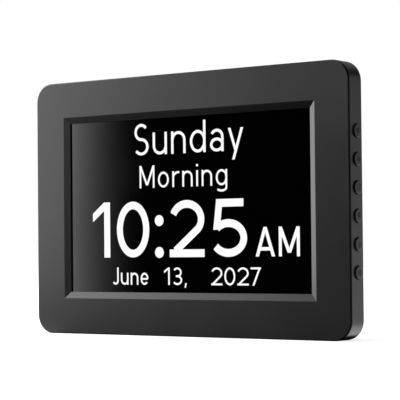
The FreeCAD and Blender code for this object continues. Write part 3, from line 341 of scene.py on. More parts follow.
def soft_dull(name, colour, roughness, lumps, lump_depth):
    material, tree, shader = new_material(name)
    grain = place_group(tree, moulded_grain, Pits_per_metre=lumps)
    touch = place_group(tree, handling, Patches_per_metre=60.0)
    # Painted shade: the hollows of the lumps get a much darker copy of the colour.
    toned = mix_colours(tree, grain["Valley"], colour, shade(colour, HOLLOW_PAINTED_SHADE))
    fill_sockets(tree, shader, {
        "Base Color": mix_colours(tree, product(tree, touch["Dust"], ROUGH_DUST), toned, DUST_BROWN),
        "Roughness": ranging(tree, touch["Patch"], roughness - 0.06, roughness + 0.05),
        "Normal": relief(tree, grain["Height"], strength=0.5, depth=lump_depth),
        "Specular IOR Level": 0.35})
    return material


finishes["foam"] = soft_dull("black_foam", (0.022, 0.022, 0.022), 0.9, 1600.0, 0.15 * MM)
finishes["foot_rubber"] = soft_dull("black_rubber", (0.02, 0.02, 0.02), 0.62, 3000.0, 0.03 * MM)
finishes["speaker_paper"] = soft_dull("pressed_cone_paper", (0.05, 0.046, 0.042), 0.85, 900.0, 0.08 * MM)
finishes["magnet"] = soft_dull("grey_ferrite", (0.11, 0.11, 0.115), 0.55, 2200.0, 0.03 * MM)
print("dull finishes ready")

# %% [markdown]
# Metal sheet and turned metal carry fine lines from the roller or the lathe. Stretching a noise along one
# direction gives such lines: it is squeezed hard across them and left long along them. The lines change the
# roughness and the bump, so that the highlights smear across them as they do on real metal.

# %% Group: tool lines


def make_lines_group():
    group, given, out = new_group("tool_lines", {"Lines per metre": 6000.0, "Stretch": 0.02}, ("Line",))
    squeeze = add_node(group, "ShaderNodeCombineXYZ", {"X": given["Stretch"], "Y": 1.0, "Z": 1.0}).outputs["Vector"]
    place = add_node(group, "ShaderNodeVectorMath", {0: object_place(group), 1: squeeze}, operation="MULTIPLY")
    lines = noise(group, place.outputs["Vector"], given["Lines per metre"])
    group.links.new(remap(group, lines, 0.3, 0.7, 0.0, 1.0), out["Line"])
    return group


tool_lines = make_lines_group()
print("group", tool_lines.name, "ready")

# %% [markdown]
# Screws, brass turnings, sheet parts and the cans of the capacitors are bare metals. They differ in colour, and in
# how far the tool lines stretch: long on rolled sheet, short on a drawn can, and not at all on turned brass.
# Handling dims the colour in patches, and the edges are rubbed bright.

# %% Finish: bare metal
LINE_DEPTH = 0.01 * MM
TARNISH = 0.82
RUBBED_BRIGHT = 1.25


def bare_metal(name, colour, roughness, stretch=0.02):
    material, tree, shader = new_material(name)
    scratch = place_group(tree, tool_lines, Stretch=stretch)
    touch = place_group(tree, handling, Patches_per_metre=90.0)
    edges = place_group(tree, worn_edges)
    toned = mix_colours(tree, touch["Patch"], shade(colour, TARNISH), colour)
    fill_sockets(tree, shader, {
        "Base Color": mix_colours(tree, edges["Edge"], toned, shade(colour, RUBBED_BRIGHT)),
        "Roughness": ranging(tree, scratch["Line"], roughness - 0.07, roughness + 0.09),
        "Normal": relief(tree, scratch["Line"], strength=0.3, depth=LINE_DEPTH),
        "Metallic": 1.0})
    return material


finishes["screw_steel"] = bare_metal("black_zinc_steel", (0.10, 0.10, 0.105), 0.34)
finishes["brass"] = bare_metal("turned_brass", (0.78, 0.57, 0.24), 0.26, stretch=1.0)
finishes["sheet_steel"] = bare_metal("rolled_sheet_steel", (0.56, 0.57, 0.58), 0.3)
finishes["can_aluminium"] = bare_metal("drawn_aluminium", (0.78, 0.78, 0.79), 0.24, stretch=0.3)
print("metals ready")

# %% [markdown]
# The peg is a steel rod under a baked satin coating, so it is a paint, not a bare metal: a dark base with a light
# orange-peel ripple and a clear gloss of its own. The coating rubs thin on the corners of the collar and the
# thread.

# %% Finish: coated peg
PEEL_DEPTH = 0.05 * MM
RUBBED_THIN = 0.4
STEEL_GREY = (0.16, 0.16, 0.16)


def coated_steel(name, colour, roughness):
    material, tree, shader = new_material(name)
    peel = place_group(tree, moulded_grain, Pits_per_metre=1300.0)
    touch = place_group(tree, handling, Patches_per_metre=70.0)
    edges = place_group(tree, worn_edges, Radius=0.3 * MM)
    # Painted shade: the valleys of the orange peel get a slightly darker copy of the colour.
    toned = mix_colours(tree, peel["Valley"], colour, shade(colour, 0.9))
    fill_sockets(tree, shader, {
        "Base Color": mix_colours(tree, product(tree, edges["Edge"], RUBBED_THIN), toned, STEEL_GREY),
        "Roughness": ranging(tree, touch["Patch"], roughness - 0.04, roughness + 0.06),
        "Normal": relief(tree, peel["Height"], strength=0.15, depth=PEEL_DEPTH),
        "Coat Weight": 0.15})
    return material


finishes["peg_plastic"] = coated_steel("satin_black_coating", (0.022, 0.022, 0.023), 0.36)
print("peg coating ready")

# %% [markdown]
# The screen is a sandwich of glass with a black filter in it. From outside it is a deep black with one hard clear
# reflection on top, so a nearly black base with a very low roughness gives it. Faint greasy smears, larger than a
# fingertip, keep the reflection from looking like a computer's.

# %% Finish: screen glass
SCREEN_BLACK = (0.0006, 0.0006, 0.0008)
GLASS_DUST = 0.02


def screen_glass():
    material, tree, shader = new_material("black_screen_glass")
    touch = place_group(tree, handling, Patches_per_metre=22.0, Specks_per_metre=1500.0)
    fill_sockets(tree, shader, {
        "Base Color": mix_colours(tree, product(tree, touch["Dust"], GLASS_DUST), SCREEN_BLACK, (0.3, 0.3, 0.3)),
        "Roughness": ranging(tree, touch["Patch"], 0.025, 0.06),
        "IOR": 1.5})
    return material


finishes["screen_glass"] = screen_glass()
print("screen glass ready")

# %% [markdown]
# Behind the covers lie the parts that only show through the vents or when the clock is opened. The circuit boards
# have copper tracks under a green lacquer. The tracks come from a brick pattern, whose long joints look like routed
# lines.

# %% Finish: circuit board
TRACKS_PER_METRE = 260.0
TRACK_HEIGHT = 0.03 * MM


def circuit_board():
    material, tree, shader = new_material("green_circuit_board")
    black, white = (0, 0, 0, 1), (1, 1, 1, 1)
    tracks = add_node(tree, "ShaderNodeTexBrick", {
        "Scale": TRACKS_PER_METRE, "Mortar Size": 0.03, "Color1": black, "Color2": black, "Mortar": white,
        "Vector": object_place(tree)}, offset=0.37)
    touch = place_group(tree, handling)
    track = add_node(tree, "ShaderNodeSeparateColor", {"Color": tracks.outputs["Color"]}).outputs["Red"]
    fill_sockets(tree, shader, {
        "Base Color": mix_colours(tree, track, (0.012, 0.12, 0.045), (0.03, 0.23, 0.09)),
        "Roughness": ranging(tree, touch["Patch"], 0.2, 0.32),
        "Normal": relief(tree, track, strength=0.4, depth=TRACK_HEIGHT)})
    return material


finishes["circuit_board"] = circuit_board()
print("circuit board ready")

# %% [markdown]
# The last finishes are for the amber film of the flat ribbons, the red and the black wire of the speaker, and the
# clear acrylic of the light guide and the films. Lines and grain come from the groups above, so each needs only
# its own colours and gloss.

# %% Finish: ribbon, wire and clear plastic


def ribbon_film():
    material, tree, shader = new_material("amber_ribbon_film")
    stripes = place_group(tree, tool_lines, Lines_per_metre=1400.0, Stretch=1.0)
    fill_sockets(tree, shader, {
        "Base Color": mix_colours(tree, stripes["Line"], (0.36, 0.15, 0.02), (0.62, 0.34, 0.07)),
        "Roughness": ranging(tree, stripes["Line"], 0.18, 0.3)})
    return material


def coordinates(tree, place):
    """The outputs X, Y and Z of a place."""
    return add_node(tree, "ShaderNodeSeparateXYZ", {"Vector": place}).outputs


def wire_jacket():
    """One finish for both wires: black below the middle of the pair and red above it."""
    material, tree, shader = new_material("red_and_black_wire")
    low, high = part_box("speaker_wires")
    middle = (low.z + high.z) / 2
    upper = remap(tree, coordinates(tree, object_place(tree))["Z"], middle - 0.1 * MM, middle + 0.1 * MM, 0.0, 1.0)
    grain = place_group(tree, moulded_grain, Pits_per_metre=2600.0)
    fill_sockets(tree, shader, {
        "Base Color": mix_colours(tree, upper, (0.012, 0.012, 0.012), (0.42, 0.012, 0.012)),
        "Roughness": ranging(tree, grain["Valley"], 0.3, 0.42)})
    return material


def clear_plastic():
    material, tree, shader = new_material("clear_acrylic")
    touch = place_group(tree, handling)
    fill_sockets(tree, shader, {
        "Base Color": (0.88, 0.91, 0.92, 1.0), "Roughness": ranging(tree, touch["Patch"], 0.05, 0.14),
        "Transmission Weight": 0.8, "IOR": 1.49})
    return material


finishes["ribbon_film"] = ribbon_film()
finishes["wire_jacket"] = wire_jacket()
finishes["clear_plastic"] = clear_plastic()
print("ribbon, wire and clear plastic ready")

# %% [markdown]
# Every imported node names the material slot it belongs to, so dressing the whole clock is one loop: look the slot
# up in the record and put that finish in the node's own material slot. The meshes stay as they are.

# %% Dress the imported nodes
slot_of = {row["node"]: row.get("material_slot", row["node"]) for row in frame["record"]["subparts"]}
for node_name, node in frame["nodes"].items():
    if not node.material_slots:
        node.data.materials.append(None)
    for slot in node.material_slots:
        slot.material = finishes[slot_of[node_name]]
print(len(frame["nodes"]), "nodes wear", len(finishes), "finishes")

# %% [markdown]
# The words on the screen are drawn with strokes of one even width, as a sign maker would draw them. Each letter is
# a few simple outlines: an upright bar, a slanted bar with level ends, or a ribbon that follows an arc. They are
# described on a grid where a capital is 1 high, so one set of letters serves every size. Arcs come from a formula,
# so nothing is traced.

# %% Strokes that letters are made of
ARC_STEP = math.radians(7.5)


def arc(centre, radii, start, end):
    """Points along part of an ellipse, from one angle to another in degrees."""
    first, last = math.radians(start), math.radians(end)
    steps = max(2, round(abs(last - first) / ARC_STEP))
    angles = [first + (last - first) * i / steps for i in range(steps + 1)]
    return [Vector((centre[0] + radii[0] * math.cos(a), centre[1] + radii[1] * math.sin(a))) for a in angles]


def ribbon(points, width):
    """The outline of a stroke of even width along some points."""
    points = [Vector(p) for p in points]
    sides = ([], [])
    for i, point in enumerate(points):
        before = (point - points[i - 1]).normalized() if i else None
        after = (points[i + 1] - point).normalized() if i + 1 < len(points) else None
        along = ((before or after) + (after or before)).normalized()
        across = Vector((-along.y, along.x))
        reach = width / 2 / max(0.4, along.dot(after or before))
        sides[0].append(point + across * reach)
        sides[1].append(point - across * reach)
    return sides[0] + sides[1][::-1]


def ring(centre, radii, width):
    """A closed oval stroke, as two halves that overlap a little."""
    overlap = 3
    return [ribbon(arc(centre, radii, turn - overlap, turn + 180 + overlap), width) for turn in (0, 180)]


def bar(x0, y0, x1, y1):
    return [Vector(p) for p in ((x0, y0), (x1, y0), (x1, y1), (x0, y1))]


def slant(bottom, top, width):
    """A straight stroke between two heights, with level ends. The points are the middles of its ends."""
    (x0, y0), (x1, y1) = bottom, top
    half = width / 2 * math.hypot(x1 - x0, y1 - y0) / (y1 - y0)
    return [Vector(p) for p in ((x0 - half, y0), (x0 + half, y0), (x1 + half, y1), (x1 - half, y1))]


def disc(centre, radius):
    return arc(centre, (radius, radius), 0, 360)[:-1]


print("strokes ready")

# %% [markdown]
# Now the alphabet, only as far as the clock's words need it. Every letter gives its own width and its strokes.
# Round letters are ovals set in by half a stroke, so that all of them reach the same lines whatever the weight.
# First the small letters. They stand as high as an x does, only d reaches the full height, and g and y go below
# the line. An n turned round makes the u, and the o lends its bowl to d and g. In the code, w is the width of a
# stroke and h is half of it.

# %% The small letters
X_HEIGHT = 0.70
DESCENT = 0.27


def small_letters(w):
    """Small letters for a stroke width, as name: (width, outlines)."""
    h = w / 2
    n_wide, o_wide, a_wide, e_wide, y_wide = 0.56, 0.60, 0.51, 0.57, 0.56
    stem = bar(0, 0, w, X_HEIGHT)
    bowl = ring((o_wide / 2, X_HEIGHT / 2), (o_wide / 2 - h, X_HEIGHT / 2 - h), w)
    n_round = n_wide / 2 - h
    n_arch = ribbon(arc((n_wide / 2, X_HEIGHT - h - n_round), (n_round, n_round), 180, 0) + [(n_wide - h, 0)], w)
    u_arch = [Vector((n_wide - p.x, X_HEIGHT - p.y)) for p in n_arch]
    a_mid = a_wide / 2
    a_top = arc((a_mid, X_HEIGHT - h - 0.2), (a_mid - h, 0.2), 152, 0) + [(a_wide - h, 0)]
    e_mid = e_wide / 2
    e_open = arc((e_mid, X_HEIGHT / 2), (e_mid - h, X_HEIGHT / 2 - h), 0, 318)
    hook = arc((o_wide / 2, 0.19 - DESCENT), (o_wide / 2 - h, 0.19 - h), 0, -148)
    y_foot = y_wide / 2 - (y_wide / 2 - h) * DESCENT / X_HEIGHT
    return {
        "n": (n_wide, [stem, n_arch]),
        "u": (n_wide, [bar(n_wide - w, 0, n_wide, X_HEIGHT), u_arch]),
        "r": (0.35, [stem, ribbon(arc((0.35, X_HEIGHT - 0.29), (0.35 - h, 0.29 - h), 180, 84), w)]),
        "i": (w, [stem, disc((h, 0.92), 0.62 * w)]),
        "o": (o_wide, bowl),
        "d": (o_wide, bowl + [bar(o_wide - w, 0, o_wide, 1.0)]),
        "g": (o_wide, bowl + [ribbon([(o_wide - h, X_HEIGHT)] + hook, w)]),
        "a": (a_wide, ring((a_mid, 0.215), (a_mid - h, 0.215 - h), w) + [ribbon(a_top, w)]),
        "e": (e_wide, [ribbon(e_open, w), bar(h, X_HEIGHT / 2 - h, e_wide - h, X_HEIGHT / 2 + h * 0.8)]),
        "y": (y_wide, [slant((y_foot, -DESCENT), (y_wide - h, X_HEIGHT), w),
                       slant((y_wide / 2, 0), (h, X_HEIGHT), w)]),
    }


print("small letters:", " ".join(small_letters(0.1)))

# %% [markdown]
# Only four capitals are needed. The S is one long ribbon along two half ovals, the lower one a little wider. The
# strokes of A and M are a touch thicker than the uprights, since a slanted stroke looks thinner than it is.

# %% The capitals


def capitals(w):
    h = w / 2
    s_wide, m_wide, a_wide, j_wide = 0.58, 0.84, 0.78, 0.46
    rise = (0.5 - h) / 2
    spine = arc((s_wide / 2, 0.5 + rise), (s_wide / 2 - h - 0.02, rise), 35, 270)
    spine += arc((s_wide / 2, h + rise), (s_wide / 2 - h, rise), 90, -145)[1:]
    hook = arc((j_wide / 2, 0.24), (j_wide / 2 - h, 0.24 - h), 0, -150)
    thick = 1.06 * w
    return {
        "S": (s_wide, [ribbon(spine, w)]),
        "J": (j_wide, [ribbon([(j_wide - h, 1.0)] + hook, w)]),
        "A": (a_wide, [slant((h, 0), (a_wide / 2, 1.0), thick), slant((a_wide - h, 0), (a_wide / 2, 1.0), thick),
                       bar(0.17, 0.2, a_wide - 0.17, 0.2 + w)]),
        "M": (m_wide, [bar(0, 0, w, 1.0), bar(m_wide - w, 0, m_wide, 1.0),
                       slant((m_wide / 2, 0.12), (h, 1.0), thick),
                       slant((m_wide / 2, 0.12), (m_wide - h, 1.0), thick)]),
    }


print("capitals:", " ".join(capitals(0.1)))

# %% [markdown]
# The digits, the colon and the comma are made of the same strokes. The zero is a full oval, and the 2, 3 and 5
# follow arcs that stop short, so that their ends stay open.

# %% The digits


def digits(w):
    h = w / 2
    zero, one, two, three, five, seven = 0.74, 0.40, 0.76, 0.68, 0.76, 0.68
    flag = [Vector(p) for p in ((0, 0.80), (one - w, 1.0), (one - h, 1.0), (one - h, 1.0 - 1.12 * w),
                                (one - w, 1.0 - 1.12 * w), (0, 0.80 - 1.12 * w))]
    two_arc = arc((two / 2, 1 - h - 0.27), (two / 2 - h, 0.27), 160, -38) + [(0.13, w * 0.8)]
    top = arc((three / 2, 0.75 - h / 2), (three / 2 - h - 0.03, 0.25 - h / 2), 148, -90)
    low = arc((three / 2, 0.25 + h / 2), (three / 2 - h, 0.25 - h / 2), 90, -148)
    belly = arc((five / 2 - 0.01, 0.325), (five / 2 - h + 0.01, 0.325 - h), 138, -146)
    return {
        "0": (zero, ring((zero / 2, 0.5), (zero / 2 - h, 0.5 - h), w)),
        "1": (one, [bar(one - w, 0, one, 1.0), flag]),
        "2": (two, [ribbon(two_arc, w), bar(0.0, 0.0, two, w)]),
        "3": (three, [ribbon(top, w), ribbon(low, w), bar(0.24, 0.5 - h, three / 2, 0.5 + h)]),
        "5": (five, [ribbon(belly, w), bar(0.12, 1 - w, five - 0.07, 1.0), slant((0.12, 0.47), (0.12 + h, 1.0), w)]),
        "7": (seven, [bar(0, 1 - w, seven, 1.0), slant((0.17, 0), (seven - h * 1.08, 1.0), w * 1.04)]),
        ":": (0.2, [disc((0.1, height), 0.097) for height in (0.085, 0.65)]),
        ",": (w, [[Vector(p) for p in ((0.02, w), (w + 0.02, w), (h, -0.15), (-0.03, -0.15))]]),
    }


print("digits:", " ".join(digits(0.1)))

# %% [markdown]
# Strokes of one letter overlap where they meet, and overlapping shells would make a poor mesh. A flat Delaunay
# triangulation solves that: it cuts all outlines against each other and says which outline each small face lies
# in. Faces that lie in none are thrown away, the rest is one clean sheet, and that sheet gets a thickness. The
# same function later makes the marks on the buttons, because the place of the front and of the back is given by
# two small functions.

# %% From outlines to a thin plate
SAME_PLACE = 1e-7
NEARLY_FLAT = math.radians(0.5)


def anticlockwise(outline):
    area = sum(a.x * b.y - b.x * a.y for a, b in zip(outline, outline[1:] + outline[:1]))
    return outline if area > 0 else outline[::-1]


def plate(name, outlines, front, back):
    """A thin closed mesh in the shape of all outlines together. front and back turn (u, v) into a place."""
    outlines = [anticlockwise(outline) for outline in outlines]
    points = [p for outline in outlines for p in outline]
    faces, start = [], 0
    for outline in outlines:
        faces.append(list(range(start, start + len(outline))))
        start += len(outline)
    flat, _, cells, _, _, sources = delaunay_2d_cdt(points, [], faces, 0, SAME_PLACE)
    mesh = bmesh.new()
    layers = [[mesh.verts.new(where(p.x, p.y)) for p in flat] for where in (front, back)]
    inside = [cell for cell, source in zip(cells, sources) if source]
    sides = {(a, b) for cell in inside for a, b in zip(cell, cell[1:] + cell[:1])}
    for cell in inside:
        mesh.faces.new([layers[0][i] for i in cell])
        mesh.faces.new([layers[1][i] for i in reversed(cell)])
    for a, b in sorted(sides):
        if (b, a) not in sides:
            mesh.faces.new([layers[0][b], layers[0][a], layers[1][a], layers[1][b]])
    bmesh.ops.delete(mesh, geom=[v for v in mesh.verts if not v.link_faces], context="VERTS")
    bmesh.ops.dissolve_limit(mesh, angle_limit=NEARLY_FLAT, verts=mesh.verts, edges=mesh.edges)
    bmesh.ops.recalc_face_normals(mesh, faces=mesh.faces)
    data = bpy.data.meshes.new(name)
    mesh.to_mesh(data)
    mesh.free()
    piece = bpy.data.objects.new(name, data)
    bpy.context.collection.objects.link(piece)
    return piece


print("plate maker ready")

# %% [markdown]
# The lit words glow by themselves, so their finish is mostly emission, at a strength of one so that white stays
# just white. Close up, a screen is a lattice of cells with dimmer gaps. Dividing a place by the cell's size and
# keeping the fraction tells where in its cell it lies, once across and once up. The cells are far smaller than the
# strokes and only show when the camera comes near.

# %% Finish: lit screen cells
CELL = 0.15 * MM
GAP_SHARES = {"X": 0.16, "Z": 0.10}


def make_cells_group():
    group, given, out = new_group("screen_cells", {"Cell": CELL}, ("Lit",))
    place = coordinates(group, object_place(group))
    clear = []
    for axis, gap in GAP_SHARES.items():
        step = math_node(group, "FRACT", math_node(group, "DIVIDE", place[axis], given["Cell"]))
        clear.append(math_node(group, "GREATER_THAN", step, gap))
    group.links.new(product(group, *clear), out["Lit"])
    return group


screen_cells = make_cells_group()


def lit_words():
    material, tree, shader = new_material("lit_white_cells")
    cells = place_group(tree, screen_cells)
    fill_sockets(tree, shader, {
        "Emission Color": mix_colours(tree, cells["Lit"], (0.86, 0.87, 0.9), (1.0, 1.0, 1.0)),
        "Emission Strength": 1.0, "Base Color": (0.02, 0.02, 0.02, 1.0), "Roughness": 0.2})
    return material


lit_white = lit_words()
print("lit cells", CELL / MM, "mm apart")

# %% [markdown]
# The screen shows the weekday, the part of the day, the time and the date, one below the other. The small AM beside
# the time has its own size, so it is set as a line of its own. A line has a base, a capital height and a stroke
# width in millimetres. Each of its words has a left edge in millimetres and a space between letters, as a share of
# the capital height. All words of a line are one plate that lies on the glass.

# %% Set the words on the screen
GLASS_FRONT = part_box("lcd_panel")[0].y
WORD_THICKNESS = 0.05 * MM


def set_word(text, left, spacing, letters, base, capital):
    """The outlines in metres, and where the word ends in millimetres."""
    outlines, pen = [], left
    for letter in text:
        width, strokes = letters[letter]
        outlines += [[Vector((pen + p.x * capital, base + p.y * capital)) * MM for p in s] for s in strokes]
        pen += (width + spacing) * capital
    return outlines, pen - spacing * capital


def set_line(name, *words, base, capital, stroke):
    w = stroke / capital
    letters = {**small_letters(w), **capitals(w), **digits(w)}
    outlines = []
    for text, left, spacing in words:
        strokes, end = set_word(text, left, spacing, letters, base, capital)
        outlines += strokes
        print(f"{name}: {text!r} from {left} to {end:.1f} mm")
    piece = plate(name, outlines,
                  lambda u, v: (u, GLASS_FRONT - WORD_THICKNESS, v), lambda u, v: (u, GLASS_FRONT, v))
    piece.data.materials.append(lit_white)
    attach(piece, "clock")


set_line("weekday_words", ("Sunday", -33.4, 0.17), base=94.5, capital=16.6, stroke=1.5)
set_line("day_part_words", ("Morning", -29.9, 0.2), base=77.2, capital=11.75, stroke=1.1)
set_line("time_digits", ("10", -62.0, 0.16), (":", -20.1, 0.1), ("25", -10.4, 0.14),
         base=40.9, capital=29.4, stroke=4.0)
set_line("morning_mark", ("AM", 43.6, 0.16), base=41.0, capital=14.7, stroke=1.75)
set_line("date_words", ("June", -48.8, 0.17), ("13,", -14.2, 0.2), ("2027", 16.0, 0.14),
         base=26.5, capital=9.1, stroke=1.0)

# %% [markdown]
# Each button carries a small black mark, printed on its flat face: double arrows back, forward, up and down, five
# dots to select, and a ring for power. The marks are made of the strokes that the letters use, drawn in
# millimetres round the middle of a cap.

# %% Shapes of the marks
MARK_LINE = 0.6
ARROW_TIPS = (1.6, 0.2)
ARROW_SIZE = 1.15
DOT_RADIUS = 0.5
DOT_SPREAD = (-1.1, 1.1)
POWER_RADIUS = 1.25
POWER_DOT = 0.45


def double_arrow(direction):
    """Two open arrow heads that point the same way, one behind the other."""
    point = Vector(direction)
    side = Vector((-point.y, point.x))
    heads = []
    for along in ARROW_TIPS:
        tip = point * along
        back = tip - point * ARROW_SIZE
        heads.append(ribbon([back + side * ARROW_SIZE, tip, back - side * ARROW_SIZE], MARK_LINE))
    return heads


marks = {
    "previous": double_arrow((-1, 0)),
    "next": double_arrow((1, 0)),
    "select": [disc((0, 0), DOT_RADIUS)] + [disc((u, v), DOT_RADIUS) for u in DOT_SPREAD for v in DOT_SPREAD],
    "up": double_arrow((0, 1)),
    "down": double_arrow((0, -1)),
    "power": ring((0, 0), (POWER_RADIUS, POWER_RADIUS), MARK_LINE) + [disc((0, 0), POWER_DOT)],
}
print("marks drawn, in outlines:", {name: len(outlines) for name, outlines in marks.items()})

# %% [markdown]
# A print is a film of ink about a hundredth of a millimetre thick, and dull, so it shows dark against the sheen of
# the cap. It lies on the cap's flat end, which faces right, so its own two directions become back and up. It also
# reaches a little way into the cap, because two faces in the same place would flicker. It rides on the body of its
# button and goes in with it.

# %% Print the marks on the buttons
INK_THICKNESS = 0.01 * MM
INK_SUNK = 0.01 * MM
ink = soft_dull("black_printing_ink", (0.003, 0.003, 0.003), 0.9, 9000.0, 0.01 * MM)


def mark_button(name, outlines):
    low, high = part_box(f"button_{name}")
    middle = (low + high) / 2

    def at(lift):
        return lambda u, v: (high.x + lift, middle.y + u, middle.z + v)

    scaled = [[p * MM for p in outline] for outline in outlines]
    piece = plate(f"mark_{name}", scaled, at(INK_THICKNESS), at(-INK_SUNK))
    piece.data.materials.append(ink)
    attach(piece, f"button_{name}_body")


for button, outlines in marks.items():
    mark_button(button, outlines)
print("marks on", ", ".join(marks))

# %% [markdown]
# The studio is plain: a pale floor, a pale world all round, and one large soft light. A picture of a black glossy
# thing is a picture of what it mirrors, so what stands in front of it matters. The world and the floor give plain
# light to matt surfaces, and are simply white to the camera and in reflections. The Light Path node tells which
# kind of ray asks.

# %% Pale floor and pale world
PLAIN_LIGHT = 0.55
FLOOR_COLOUR = 0.7
FLOOR_LIFT = 0.64
FLOOR_HALF = 6.0


def seen_white(tree, plain, lifted):
    """A strength that is lifted for camera, glossy and transmission rays, and plain for all others."""
    path = tree.nodes.new("ShaderNodeLightPath")
    shown = math_node(tree, "MAXIMUM", path.outputs["Is Camera Ray"], path.outputs["Is Glossy Ray"])
    shown = math_node(tree, "MAXIMUM", shown, path.outputs["Is Transmission Ray"])
    return ranging(tree, shown, plain, lifted)


def make_world():
    world = bpy.data.worlds.new("pale_room")
    world.use_nodes = True
    tree = world.node_tree
    fill_sockets(tree, tree.nodes["Background"], {"Strength": seen_white(tree, PLAIN_LIGHT, 1.0),
                                                  "Color": (1.0, 1.0, 1.0, 1.0)})
    world.cycles.sampling_method = "NONE"
    bpy.context.scene.world = world


def make_floor():
    material, tree, shader = new_material("pale_floor")
    fill_sockets(tree, shader, {
        "Base Color": (FLOOR_COLOUR, FLOOR_COLOUR, FLOOR_COLOUR, 1.0), "Roughness": 1.0, "Specular IOR Level": 0.0,
        "Emission Color": (1.0, 1.0, 1.0, 1.0), "Emission Strength": seen_white(tree, 0.0, FLOOR_LIFT)})
    data = bpy.data.meshes.new("floor")
    corners = [(-1, -1), (1, -1), (1, 1), (-1, 1)]
    data.from_pydata([(x * FLOOR_HALF, y * FLOOR_HALF, 0.0) for x, y in corners], [], [(0, 1, 2, 3)])
    floor = bpy.data.objects.new("floor", data)
    bpy.context.collection.objects.link(floor)
    data.materials.append(material)


make_world()
make_floor()
print("floor and world are pale")

# %% [markdown]
# Everything that stands round the clock is placed by angles, as seen from the clock: how far round, how far up, and
# how far away. What lies on the floor has a small lift instead of the second angle.

# %% Places round the clock
CARD_DISTANCE = 2.4
FLAG_DISTANCE = 2.5
CARD_CENTRE = Vector((0, 0, 0.07))


def card_point(azimuth, elevation, distance):
    """A place round the clock. Azimuth 0 is straight in front and grows to the right."""
    a, e = math.radians(azimuth), math.radians(elevation)
    return Vector((math.sin(a) * math.cos(e), -math.cos(a) * math.cos(e), math.sin(e))) * distance + CARD_CENTRE


def floor_point(azimuth, distance, lift):
    a = math.radians(azimuth)
    return Vector((math.sin(a) * distance, -math.cos(a) * distance, lift))


print("light", CARD_DISTANCE, "m away and flags", FLAG_DISTANCE, "m")

# %% [markdown]
# The large light and the cards are sheets, bent so that they stay at one distance from the clock. Lamps could do
# the lighting, but what a glossy clock mirrors needs a shape, and a sheet can fade towards its edges by its UV map.

# %% Sheets from rows of places
CARD_STEPS = 24
CARD_SHARES = [i / CARD_STEPS for i in range(CARD_STEPS + 1)]


def between(ends, share):
    return ends[0] + (ends[1] - ends[0]) * share


def grid_card(name, places, material):
    """A sheet from rows of places. Its UV map runs from 0 to 1 along the rows and across them."""
    rows, row = len(places), len(places[0])
    data = bpy.data.meshes.new(name)
    quads = [(j * row + i, j * row + i + 1, (j + 1) * row + i + 1, (j + 1) * row + i)
             for j in range(rows - 1) for i in range(row - 1)]
    data.from_pydata([place for line in places for place in line], [], quads)
    spread = data.uv_layers.new(name="spread")
    for loop in data.loops:
        j, i = divmod(loop.vertex_index, row)
        spread.data[loop.index].uv = (i / (row - 1), j / (rows - 1))
    card = bpy.data.objects.new(name, data)
    bpy.context.collection.objects.link(card)
    data.materials.append(material)
    card.visible_camera = False
    card.visible_shadow = False
    return card


def curved_card(name, azimuths, elevations, material, distance=FLAG_DISTANCE):
    return grid_card(name, [[card_point(between(azimuths, i), between(elevations, j), distance) for i in CARD_SHARES]
                            for j in CARD_SHARES], material)


def floor_ring(name, azimuths, distances, lift, material):
    return grid_card(name, [[floor_point(between(azimuths, i), distance, lift) for i in CARD_SHARES]
                            for distance in distances], material)


def floor_sheet(name, across, along, lift, material):
    return grid_card(name, [[Vector((x, y, lift)) for x in across] for y in along], material)


print("a curved sheet has", CARD_STEPS, "steps each way")

# %% [markdown]
# A hard edge of the light would draw a line across the satin face, so the light's inner edge fades out slowly. The
# fade is measured as an angle round one upright line in the room, so that in the glass it runs straight from top to
# bottom, and higher up it leans to the left. It is a group, because the lit sheets on the floor, which the glass
# mirrors below the horizon, have to fade just as the light above them does.

# %% Group: edge fade
FADE_CENTRE = (0.510, 0.650)
FADE_START = 37.96
FADE_WIDTH = 3.25
FADE_POWER = 2.75
FADE_LEAN = 3.5
FADE_LEAN_FROM = 0.3


def make_fade_group():
    """From 0 at the fade's start to 1 at its end, as an angle round FADE_CENTRE."""
    group, given, out = new_group("edge_fade", {"Start": FADE_START, "Width": FADE_WIDTH}, ("Fade",))
    place = coordinates(group, object_place(group))
    left = math_node(group, "SUBTRACT", FADE_CENTRE[0], place["X"])
    front = math_node(group, "SUBTRACT", FADE_CENTRE[1], place["Y"])
    angle = math_node(group, "DEGREES", math_node(group, "ARCTAN2", left, front))
    height = math_node(group, "MAXIMUM", math_node(group, "SUBTRACT", place["Z"], FADE_LEAN_FROM), 0.0)
    start = math_node(group, "ADD", given["Start"], product(group, height, FADE_LEAN))
    share = math_node(group, "DIVIDE", math_node(group, "SUBTRACT", angle, start), given["Width"])
    limited = remap(group, share, 0.0, 1.0, 0.0, 1.0)
    group.links.new(math_node(group, "POWER", limited, FADE_POWER), out["Fade"])
    return group


edge_fade = make_fade_group()
print("group", edge_fade.name, "ready")

# %% [markdown]
# A card only glows, so an Emission node is its whole surface, and the card's UV map drives its strength. The soft
# light fades at its outer end and at the top, and is fuller away from its inner edge and above eye level. The flag
# in front is black with two weaker glows, one almost straight ahead and one higher up towards the left.

# %% Finish: lights and flags
CARD_LIGHT = 3.9
LEVEL_SHARE = 0.88
FULLER_FROM, FULLER_TO = 0.75, 0.5
AHEAD_GLOW = 1.25
ABOVE_GLOW = 1.25


def card_spread(tree):
    """How far along a card a place lies, from the left, and how far up. Both run from 0 to 1."""
    place = coordinates(tree, tree.nodes.new("ShaderNodeTexCoord").outputs["UV"])
    return place["X"], place["Y"]


def card_material(name, strength=0.0):
    material = bpy.data.materials.new(name)
    material.use_nodes = True
    tree = material.node_tree
    tree.nodes.clear()
    glow = add_node(tree, "ShaderNodeEmission", {"Strength": strength})
    add_node(tree, "ShaderNodeOutputMaterial", {"Surface": glow.outputs["Emission"]})
    return material, tree, glow


